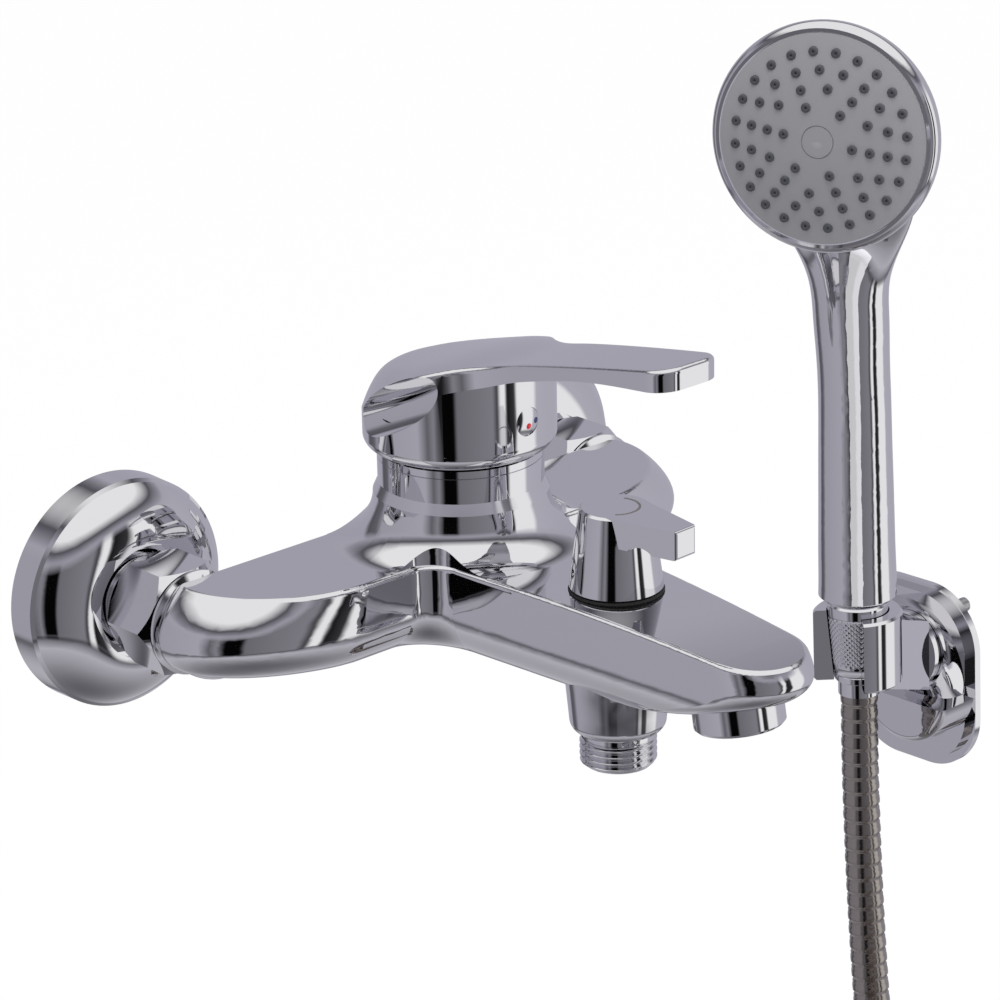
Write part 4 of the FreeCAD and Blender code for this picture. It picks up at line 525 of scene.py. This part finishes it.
@dataclass
class Lever:
    """Lever handle with its stem, grub screw and index plug.

    Attributes:
        axis_y: Distance of the cartridge's axis from the wall.
        dome_r: Radius of the dome that the plug sits in.
        plug_z: Height of the plug's middle.
        plug_turn_deg: Turn of the plug from straight out.
        crown_r: Radius of the plug's crowned face.
        proud: How far the plug's face stands out of the dome.
        dot_r: Radius of a colour dot.
        dot_rise: Height of a dot's middle over the plug's face.
        dot_fall: How far a dot's rim lies below its own crown.
        dot_sunk: Depth to which a dot is let in.
        hot_at: Middle of the red dot, to the right of and above the plug's middle.
        cold_at: Middle of the blue dot.
    """

    axis_y: float = -63.34
    dome_r: float = 26.6
    plug_z: float = 50.5
    plug_turn_deg: float = 2.0
    crown_r: float = 14.0
    proud: float = 0.3
    dot_r: float = 0.85
    dot_rise: float = 0.12
    dot_fall: float = 0.1
    dot_sunk: float = 0.5
    hot_at: Point = (0.0, -1.25)
    cold_at: Point = (2.95, -0.3)

    def build(self) -> None:
        """Dresses the lever and adds the dots that mark hot and cold."""
        dress(CHROME_ON_BRASS, "lever_handle")
        dress(CHROME_ON_ABS, "index_plug")
        dress(TURNED_BRASS, "lever_stem")
        dress(PLATED_STEEL, "lever_screw")
        new_piece("hot_dot", self.dot(*self.hot_at), RED_ENAMEL, "lever")
        new_piece("cold_dot", self.dot(*self.cold_at), BLUE_ENAMEL, "lever")

    def dot(self, across: float, up: float) -> bpy.types.Mesh:
        """Makes a domed dot on the plug's crowned face.

        Args:
            across: Distance to the right of the plug's middle, in millimetres.
            up: Distance above it, in millimetres.

        Returns:
            The dot's mesh.
        """
        turn = Matrix.Rotation(math.radians(self.plug_turn_deg), 4, "Z")
        upright = Matrix.Rotation(math.radians(90), 4, "X")
        face = Matrix.Translation((0, self.axis_y, self.plug_z)) @ turn @ upright
        middle = self.dome_r + self.proud - self.crown_r
        ball = self.crown_r + self.dot_rise
        rings, segments = 4, 24

        def on_face(radius: float, k: int, fall: float) -> Vector:
            """Point round the dot at a distance from its middle and a fall below the crowned face."""
            angle = 2 * math.pi * k / segments
            x = across + radius * math.cos(angle)
            y = up + radius * math.sin(angle)
            z = math.sqrt(ball ** 2 - x * x - y * y) + middle - fall
            return (face @ Vector((x, y, z))) * MM

        points = [on_face(0.0, 0, 0.0)]
        for ring in range(1, rings + 1):
            share = ring / rings
            points += [on_face(self.dot_r * share, k, self.dot_fall * share ** 4) for k in range(segments)]
        points += [on_face(self.dot_r, k, self.dot_sunk) for k in range(segments)]
        faces = [(0, 1 + k, 1 + (k + 1) % segments) for k in range(segments)]
        for ring in range(rings):
            low = 1 + ring * segments
            for k in range(segments):
                n = (k + 1) % segments
                faces.append((low + k, low + segments + k, low + segments + n, low + n))
        skirt = 1 + rings * segments
        faces.append(tuple(skirt + k for k in reversed(range(segments))))
        return mesh_of(points, faces)


@dataclass
class Diverter:
    """Diverter knob with the turning mark on its top.

    Attributes:
        axis_y: Distance of the knob's axis from the wall.
        top_z: Height of the knob's top.
        arc_r: Radius of the mark's middle line.
        arc_width: Width of the mark's line.
        arc_from_deg: Angle at which the arc starts, from +X.
        arc_to_deg: Angle at which it ends.
        ink: Thickness of the ink over the knob, and depth to which it is let in.
    """

    axis_y: float = -124.3
    top_z: float = 35.7
    arc_r: float = 6.4
    arc_width: float = 0.7
    arc_from_deg: float = 225.0
    arc_to_deg: float = 385.0
    ink: float = 0.03

    def build(self) -> None:
        """Dresses the knob and prints its mark."""
        dress(CHROME_ON_BRASS, "diverter_knob")
        new_piece("turn_arrow", self.arrow(), ARROW_INK, "diverter")

    def arrow(self) -> bpy.types.Mesh:
        """Makes the mark's flat arc.

        Returns:
            The arc's mesh, a thin closed film.
        """
        count = 32
        points = []
        for level in (self.top_z + self.ink, self.top_z - self.ink):
            for angle in steps(self.arc_from_deg, self.arc_to_deg, count):
                turn = math.radians(angle)
                for radius in (self.arc_r - self.arc_width / 2, self.arc_r + self.arc_width / 2):
                    across, out = radius * math.cos(turn), radius * math.sin(turn)
                    points.append(Vector((across, out + self.axis_y, level)) * MM)
        half = len(points) // 2
        faces = []
        for k in range(count):
            a = 2 * k
            faces.append((a, a + 1, a + 3, a + 2))
            faces.append((half + a, half + a + 2, half + a + 3, half + a + 1))
            faces.append((a, a + 2, half + a + 2, half + a))
            faces.append((a + 1, half + a + 1, half + a + 3, a + 3))
        last = 2 * count
        faces.append((0, half, half + 1, 1))
        faces.append((last, last + 1, half + last + 1, half + last))
        return mesh_of(points, faces)


@dataclass
class Outlet:
    """Shower outlet below the spout with its pipe thread.

    Attributes:
        axis_y: Distance of the outlet's axis from the wall.
        crest_r: Radius over the thread's crests.
        bore_r: Radius of the waterway.
        neck_r: Radius of the plain neck.
        lead: Width of the chamfer at the thread's start.
        mouth: Size of the chamfer at the waterway's mouth.
        top_z: Height at which the outlet is hidden in the body.
        neck_z: Lower end of the plain neck.
        thread_z: Lower end of the thread.
        end_z: Height of the outlet's mouth.
        pitch: Pitch of the half-inch pipe thread.
        depth: Depth of the thread.
        run_in: Length over which the thread gets its full depth.
        run_out: Length over which it fades below the neck.
    """

    axis_y: float = -124.3
    crest_r: float = 10.45
    bore_r: float = 7.0
    neck_r: float = 9.7
    lead: float = 1.3
    mouth: float = 0.5
    top_z: float = -20.0
    neck_z: float = -29.4
    thread_z: float = -36.8
    end_z: float = -37.4
    pitch: float = 1.814
    depth: float = 0.95
    run_in: float = 1.2
    run_out: float = 0.8

    def build(self) -> None:
        """Makes the threaded outlet in place of the plain one."""
        rows, segments, crease_deg = 64, 96, 70.0
        profile = [(self.bore_r, self.end_z + self.mouth), (self.bore_r + self.mouth, self.end_z),
                   (self.crest_r - self.lead, self.end_z)]
        profile += [(self.crest_r, z) for z in steps(self.thread_z, self.neck_z, rows)]
        profile += [(self.neck_r, self.neck_z + 0.05), (self.neck_r, self.top_z), (self.bore_r, self.top_z)]
        place = Matrix.Translation((0, self.axis_y, 0))
        mesh = lathe(profile, segments, place, self.thread, crease_deg)
        piece = new_piece("threaded_outlet", mesh, CHROME_ON_BRASS, "fixed")
        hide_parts("shower_nipple")

    def thread(self, radius: float, height: float, angle: float) -> float:
        """Depth of the thread at a height and angle.

        Args:
            radius: Radius of the plain outside.
            height: Height in millimetres.
            angle: Angle round the axis in radians.

        Returns:
            Change of radius, never positive.
        """
        if radius != self.crest_r:
            return 0.0
        turn = (height / self.pitch - angle / (2 * math.pi)) % 1.0
        crest_share, slope, faded_share = 0.2, 1.35, 0.6
        flank = min(1.0, max(0.0, slope * abs(2 * turn - 1) - crest_share))
        fade = min(1.0, (height - self.end_z) / self.run_in, (self.neck_z - height) / self.run_out + 0.3)
        return -self.depth * (flank * fade + faded_share * (1 - fade))


@dataclass
class ShowerPlace:
    """Where the shower set hangs, and how its pieces are placed.

    Attributes:
        middle_mm: Middle of the clip.
        lean_deg: Lean of the set's axis from upright.
        turn_deg: Turn of the hand shower in its clip.
    """

    middle_mm: tuple[float, float, float] = (185.0, -41.5, -84.7)
    lean_deg: float = 1.93
    turn_deg: float = 63.4

    def matrix(self) -> Matrix:
        """Matrix from the set's own millimetres to the frame's."""
        return Matrix.Translation(self.middle_mm) @ Matrix.Rotation(math.radians(-self.lean_deg), 4, "X")

    def in_hand(self) -> Matrix:
        """Matrix from the hand shower's own millimetres to the frame's."""
        return self.matrix() @ Matrix.Rotation(math.radians(-self.turn_deg), 4, "Z")


@dataclass
class HandShower:
    """Hand shower: shell, spray face, silicone nozzles and threaded inlet.

    Attributes:
        place: Where the shower set hangs.
        head_z: Height of the head's middle over the clip.
        head_tilt_deg: Tilt of the face.
        face_r: Radius of the spray face.
        face_front: Distance of the face's rim from the head's middle.
        face_crown: Rise of the face's middle.
        counts: Nozzles in each ring, from the outside in.
        starts_deg: Angle of each ring's first nozzle.
        outer_r: Radius of the outer ring.
        step: Distance between the rings.
        nozzle: Profile of a nozzle with its jet hole, radius and height over the face.
    """

    place: ShowerPlace
    head_z: float = 171.4
    head_tilt_deg: float = 3.4
    face_r: float = 31.7
    face_front: float = 29.6
    face_crown: float = 5.2
    counts: tuple[int, ...] = (24, 18, 12, 6)
    starts_deg: tuple[float, ...] = (4.86, 9.8, 19.73, 49.82)
    outer_r: float = 26.5
    step: float = 5.27
    nozzle: tuple[Point, ...] = (
        (0.0, 0.0), (0.42, 0.0), (0.5, 0.8), (0.65, 0.9), (0.95, 0.9), (1.33, 0.7), (1.45, 0.3), (1.45, -2.9),
        (0.0, -2.9))

    def build(self) -> None:
        """Dresses the hand shower, makes its nozzles and keeps the set out of the mixer's reflections."""
        dress(CHROME_ON_ABS, "handset_shell", "handset_inlet")
        dress(SATIN_ABS, "handset_face")
        piece = new_piece("spray_nozzles", self.nozzles(), SILICONE, "handset")
        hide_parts("handset_nozzles")
        piece.visible_glossy = False
        for node in ("handset_shell", "handset_face", "handset_inlet"):
            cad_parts[node].visible_glossy = False

    def face_height(self, radius: float) -> float:
        """Height of the crowned face at a distance from its middle, in millimetres."""
        ball = (self.face_r ** 2 + self.face_crown ** 2) / (2 * self.face_crown)
        return self.face_front + self.face_crown - ball + math.sqrt(ball ** 2 - radius ** 2)

    def to_face(self) -> Matrix:
        """Matrix from the face's own millimetres to the frame's."""
        tilt = Matrix.Rotation(math.radians(90 - self.head_tilt_deg), 4, "X")
        return self.place.in_hand() @ Matrix.Translation((0, 0, self.head_z)) @ tilt

    def spots(self) -> list[Vector]:
        """Middle of each nozzle's foot on the face, in the face's millimetres."""
        found = []
        for ring, (count, start) in enumerate(zip(self.counts, self.starts_deg)):
            radius = self.outer_r - ring * self.step
            for k in range(count):
                angle = math.radians(start + 360.0 * k / count)
                height = self.face_height(radius)
                found.append(Vector((radius * math.cos(angle), radius * math.sin(angle), height)))
        return found

    def nub(self) -> bpy.types.Object:
        """One nozzle: a round-edged stub with a jet hole, standing on its foot.

        Returns:
            A stage object that the instances copy.
        """
        segments, crease_deg = 20, 50.0
        mesh = lathe(self.nozzle, segments, Matrix(), None, crease_deg)
        nub = bpy.data.objects.new("nub", mesh)
        bpy.context.scene.collection.objects.link(nub)
        return nub

    def nozzles(self) -> bpy.types.Mesh:
        """Sets the nozzles on their spots.

        Returns:
            The mesh in its place.
        """
        spots = bpy.data.objects.new("spots", mesh_of([p * MM for p in self.spots()], []))
        bpy.context.scene.collection.objects.link(spots)
        nub = self.nub()
        tree = bpy.data.node_groups.new("set_nozzles", "GeometryNodeTree")
        tree.interface.new_socket("Geometry", in_out="INPUT", socket_type="NodeSocketGeometry")
        nub_socket = tree.interface.new_socket("Nozzle", in_out="INPUT", socket_type="NodeSocketObject")
        finish_socket = tree.interface.new_socket("Finish", in_out="INPUT", socket_type="NodeSocketMaterial")
        tree.interface.new_socket("Geometry", in_out="OUTPUT", socket_type="NodeSocketGeometry")
        given = add(tree, "NodeGroupInput")
        info = add(tree, "GeometryNodeObjectInfo", links={"Object": given.outputs["Nozzle"]})
        dots = add(tree, "GeometryNodeMeshToPoints", links={"Mesh": given.outputs["Geometry"]})
        put = add(tree, "GeometryNodeInstanceOnPoints", links={"Points": dots.outputs[0],
                                                               "Instance": info.outputs["Geometry"]})
        real = add(tree, "GeometryNodeRealizeInstances", links={0: put.outputs[0]})
        painted = add(tree, "GeometryNodeSetMaterial", links={"Geometry": real.outputs[0],
                                                              "Material": given.outputs["Finish"]})
        add(tree, "NodeGroupOutput", links={0: painted.outputs[0]})
        modifier = spots.modifiers.new("nozzles", "NODES")
        modifier.node_group = tree
        modifier[nub_socket.identifier] = nub
        modifier[finish_socket.identifier] = FINISHES[SILICONE.name]
        mesh = plain_mesh(spots)
        spots.modifiers.remove(modifier)
        mesh.transform(Matrix.Scale(1 / MM, 4))
        mesh.transform(self.to_face())
        mesh.transform(Matrix.Scale(MM, 4))
        for tool in (spots, nub):
            bpy.data.objects.remove(tool)
        return mesh


def plain_mesh(maker: bpy.types.Object) -> bpy.types.Mesh:
    """Turns an object and its modifiers into a plain mesh.

    Args:
        maker: Object whose evaluated shape is kept.

    Returns:
        The mesh.
    """
    bpy.context.view_layer.update()
    graph = bpy.context.evaluated_depsgraph_get()
    return bpy.data.meshes.new_from_object(maker.evaluated_get(graph), depsgraph=graph)


@dataclass
class Hose:
    """Spiral hose on one route: a hanging run, then a coil that is put away below the picture.

    Attributes:
        place: Where the shower set hangs.
        radius: Radius over the hose's ribs.
        start_z: Height at which the hose leaves its ferrule.
        swing_z: Height at which it starts to swing towards the room.
        run_end_z: Height at which the coil takes over.
        swing_r: Radius of the swing.
        coil_r: Radius of the coil.
        coil_pitch: Distance between the coil's turns.
        last_pitch: Distance of the last turn, which carries the end nut.
        turns: Turns in the coil.
        per_turn: Route points in one turn.
        swings: Route points on the swing.
        rib_pitch: Length of one rib of the wound strip.
        rib_drop: Depth of the groove between ribs.
        falls: Share of that depth at each ring along one rib.
        sides: Faces round the hose.
    """

    place: ShowerPlace
    radius: float = 6.0
    start_z: float = -8.0
    swing_z: float = -26.0
    run_end_z: float = -174.0
    swing_r: float = 1300.0
    coil_r: float = 69.0
    coil_pitch: float = 13.6
    last_pitch: float = 22.0
    turns: int = 3
    per_turn: int = 16
    swings: int = 4
    rib_pitch: float = 5.0
    rib_drop: float = 0.5
    falls: tuple[float, ...] = (1.0, 1.0, 0.35, 0.8, 0.15, 0.0, 0.0, 0.15)
    sides: int = 20

    def build(self) -> None:
        """Winds the hose, dresses its fittings and makes its cone nut."""
        line = self.curve()
        path = self.path(line)
        length = sum((b - a).length for a, b in zip(path, path[1:]))
        mesh = self.ribbed(line, length)
        hose = new_piece("shower_hose", mesh, WOUND_STEEL_FOLD_SHADED, "hose")
        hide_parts("hose_run", "hose_coil")
        bpy.data.objects.remove(line)
        dress(CHROME_ON_BRASS, "hose_ferrule", "hose_end_ferrule", "hose_end_nut")
        dress(RUBBER, "hose_washer", "hose_end_washer", "hose_tie")
        ConeNut(self.place).build()
        exit_point = (self.place.matrix() @ Vector((0, 0, self.start_z))) * MM
        log.info("hose line %.3f m", length)

    def route(self) -> list[Vector]:
        """Control points of the hose's line, in the set's millimetres.

        Returns:
            Points from the ferrule to the end fitting.
        """
        turn = math.asin((self.swing_z - self.run_end_z) / self.swing_r)
        points = [Vector((0, 0, self.start_z)), Vector((0, 0, self.swing_z))]
        reach = self.swing_r / math.cos(turn / self.swings / 2)
        for k in range(self.swings):
            lean = turn * (k + 0.5) / self.swings
            points.append(Vector((0, reach * math.cos(lean) - self.swing_r,
                                  self.swing_z - reach * math.sin(lean))))
        top = Vector((0, -self.swing_r * (1 - math.cos(turn)), self.swing_z - self.swing_r * math.sin(turn)))
        lead = top + Vector((0, -math.sin(turn), -math.cos(turn))) * (2 * self.radius)
        centre = lead + Vector((0, -math.cos(turn), math.sin(turn))) * self.coil_r
        points.append((top + lead) / 2)
        first = turn / (2 * math.pi)
        count = self.turns * self.per_turn
        stride = (self.turns - first) / count
        reach = self.coil_r / math.cos(math.pi * stride)
        for k in range(count):
            here = first + (k + 0.5) * stride
            extra = max(0.0, here - self.turns + 1)
            out = -self.coil_pitch * here - (self.last_pitch - self.coil_pitch) * extra * extra
            angle = 2 * math.pi * here
            points.append(Vector((out, centre.y + reach * math.cos(angle),
                                  centre.z - reach * math.sin(angle))))
        end_x = -self.coil_pitch * self.turns - (self.last_pitch - self.coil_pitch)
        end = Vector((end_x, centre.y + self.coil_r, centre.z))
        return points + [end, end + Vector((0, 0, -2 * self.radius))]

    def curve(self) -> bpy.types.Object:
        """Lays the route as one open spline.

        Returns:
            The curve's object, only used to make the hose.
        """
        points = [(self.place.matrix() @ p) * MM for p in self.route()]
        data = bpy.data.curves.new("hose_line", "CURVE")
        data.dimensions = "3D"
        data.resolution_u = 10
        spline = data.splines.new("NURBS")
        spline.points.add(len(points) - 1)
        for point, place in zip(spline.points, points):
            point.co = (*place, 1.0)
        spline.order_u = 3
        spline.use_endpoint_u = True
        line = bpy.data.objects.new("hose_line", data)
        bpy.context.scene.collection.objects.link(line)
        return line

    def path(self, line: bpy.types.Object) -> list[Vector]:
        """Points of the spline in order, as Blender draws it."""
        mesh = plain_mesh(line)
        points = [v.co.copy() for v in mesh.vertices]
        bpy.data.meshes.remove(mesh)
        return points

    def ribbed(self, line: bpy.types.Object, length: float) -> bpy.types.Mesh:
        """Sweeps the wound strip's ribs along the line.

        Args:
            line: Curve that the hose follows.
            length: Length of the curve in metres.

        Returns:
            The hose's mesh.
        """
        rings, crease_deg = len(self.falls), 60
        count = round(length / (self.rib_pitch * MM)) * rings
        tree = bpy.data.node_groups.new("wind_strip", "GeometryNodeTree")
        tree.interface.new_socket("Geometry", in_out="INPUT", socket_type="NodeSocketGeometry")
        sockets = {name: tree.interface.new_socket(name, in_out="INPUT", socket_type=kind) for name, kind in (
            ("Rings", "NodeSocketInt"), ("Radius", "NodeSocketFloat"), ("Groove", "NodeSocketFloat"),
            ("Finish", "NodeSocketMaterial"))}
        tree.interface.new_socket("Geometry", in_out="OUTPUT", socket_type="NodeSocketGeometry")
        given = add(tree, "NodeGroupInput")
        even = add(tree, "GeometryNodeResampleCurve", links={"Curve": given.outputs["Geometry"],
                                                             "Count": given.outputs["Rings"]})
        index = add(tree, "GeometryNodeInputIndex")
        phase = add(tree, "FunctionNodeIntegerMath", {1: rings}, {0: index.outputs[0]}, operation="MODULO")
        pick = add(tree, "GeometryNodeIndexSwitch", data_type="FLOAT")
        while len(pick.index_switch_items) < rings:
            pick.index_switch_items.new()
        tree.links.new(phase.outputs[0], pick.inputs[0])
        for k, fall in enumerate(self.falls):
            pick.inputs[k + 1].default_value = fall
        depth = add(tree, "ShaderNodeMath", links={0: pick.outputs[0], 1: given.outputs["Groove"]},
                    operation="MULTIPLY")
        wide = add(tree, "ShaderNodeMath", links={0: given.outputs["Radius"], 1: depth.outputs[0]},
                   operation="SUBTRACT")
        circle = add(tree, "GeometryNodeCurvePrimitiveCircle", {"Resolution": self.sides, "Radius": 1.0})
        tube = add(tree, "GeometryNodeCurveToMesh", {"Fill Caps": True},
                   {"Curve": even.outputs[0], "Profile Curve": circle.outputs[0], "Scale": wide.outputs[0]})
        smooth = add(tree, "GeometryNodeSetShadeSmooth", links={0: tube.outputs[0]})
        real = add(tree, "GeometryNodeRealizeInstances", links={0: smooth.outputs[0]})
        painted = add(tree, "GeometryNodeSetMaterial", links={"Geometry": real.outputs[0],
                                                              "Material": given.outputs["Finish"]})
        add(tree, "NodeGroupOutput", links={0: painted.outputs[0]})
        modifier = line.modifiers.new("ribs", "NODES")
        modifier.node_group = tree
        modifier[sockets["Rings"].identifier] = count + 1
        modifier[sockets["Radius"].identifier] = self.radius * MM
        modifier[sockets["Groove"].identifier] = self.rib_drop * MM
        modifier[sockets["Finish"].identifier] = FINISHES[WOUND_STEEL_FOLD_SHADED.name]
        mesh = plain_mesh(line)
        line.modifiers.remove(modifier)
        mesh.set_sharp_from_angle(angle=math.radians(crease_deg))
        return mesh


@dataclass
class ConeNut:
    """Knurled cone nut that joins the hose to the hand shower and sits in the clip.

    Attributes:
        place: Where the shower set hangs.
        socket: Profile inside the nut from its top down, radius and height.
        foot: Profile of the collar below the knurl, from the bore outwards.
        crown: Profile of the rim over the knurl.
        taper_z: Heights between which the taper runs.
        taper_r: Radius of the taper at these heights.
        knurl_z: Heights between which the knurl runs.
        knurls: Grooves round the nut in each direction.
        lead: Height in which a groove moves on by its own width.
        depth: Depth of the knurl.
        fade: Height over which the knurl ends.
        flank: Steepness of the grooves' sides.
    """

    place: ShowerPlace
    socket: tuple[Point, ...] = ((8.35, 16.6), (8.35, 4.5), (6.65, 4.5))
    foot: tuple[Point, ...] = (
        (6.65, -9.6), (7.2, -9.6), (7.6, -9.2), (7.6, -7.4), (7.4, -7.2), (7.9, -6.6), (7.9, -4.6))
    crown: tuple[Point, ...] = ((9.6, 13.0), (9.6, 16.0), (9.0, 16.6))
    taper_z: tuple[float, float] = (-5.6, 13.4)
    taper_r: tuple[float, float] = (7.9, 9.6)
    knurl_z: tuple[float, float] = (-4.0, 12.4)
    knurls: int = 32
    lead: float = 1.7
    depth: float = 0.32
    fade: float = 0.6
    flank: float = 1.6

    def build(self) -> None:
        """Makes the knurled cone nut in place of the plain one."""
        rows, segments, crease_deg = 84, 192, 40.0
        taper = [(self.radius(z), z) for z in steps(*self.knurl_z, rows)]
        profile = [*self.socket, *self.foot, *taper, *self.crown]
        mesh = lathe(profile, segments, self.place.matrix(), self.knurl, crease_deg)
        piece = new_piece("knurled_cone_nut", mesh, CHROME_ON_BRASS, "handset")
        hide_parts("hose_cone_nut")

    def radius(self, height: float) -> float:
        """Radius of the nut's taper at a height, in millimetres."""
        share = (height - self.taper_z[0]) / (self.taper_z[1] - self.taper_z[0])
        return self.taper_r[0] + share * (self.taper_r[1] - self.taper_r[0])

    def knurl(self, radius: float, height: float, angle: float) -> float:
        """Depth of the crossed knurl at a height and angle.

        Args:
            radius: Radius of the plain taper.
            height: Height over the clip's middle.
            angle: Angle round the axis in radians.

        Returns:
            Change of radius, never positive.
        """
        low, high = self.knurl_z
        if not low <= height <= high or abs(radius - self.radius(height)) > 1e-6:
            return 0.0
        around = self.knurls * angle / (2 * math.pi)
        grooves = [abs(((around + side * height / self.lead) % 1.0) - 0.5) * 2 for side in (-1, 1)]
        edge = min(1.0, (height - low) / self.fade, (high - height) / self.fade)
        return -self.depth * edge * (1 - min(1.0, self.flank * min(grooves)))


@dataclass
class Bracket:
    """Swivel bracket on the side wall."""

    def build(self) -> None:
        """Dresses the bracket and its screws."""
        dress(CHROME_ON_ABS, "bracket_plate", "bracket_cover", "bracket_clip")
        dress(PLATED_STEEL, "bracket_pivot_screw", "bracket_wall_screw_upper", "bracket_wall_screw_lower")


def main() -> None:
    """Builds the studio and every sub-assembly."""
    logging.basicConfig(level=logging.INFO, format="%(message)s")
    place = ShowerPlace()
    Studio().build()
    Hose(place).build()
    for assembly in (Mixer(), Lever(), Diverter(), Outlet(), HandShower(place), Bracket()):
        assembly.build()


if __name__ == "__main__":
    main()
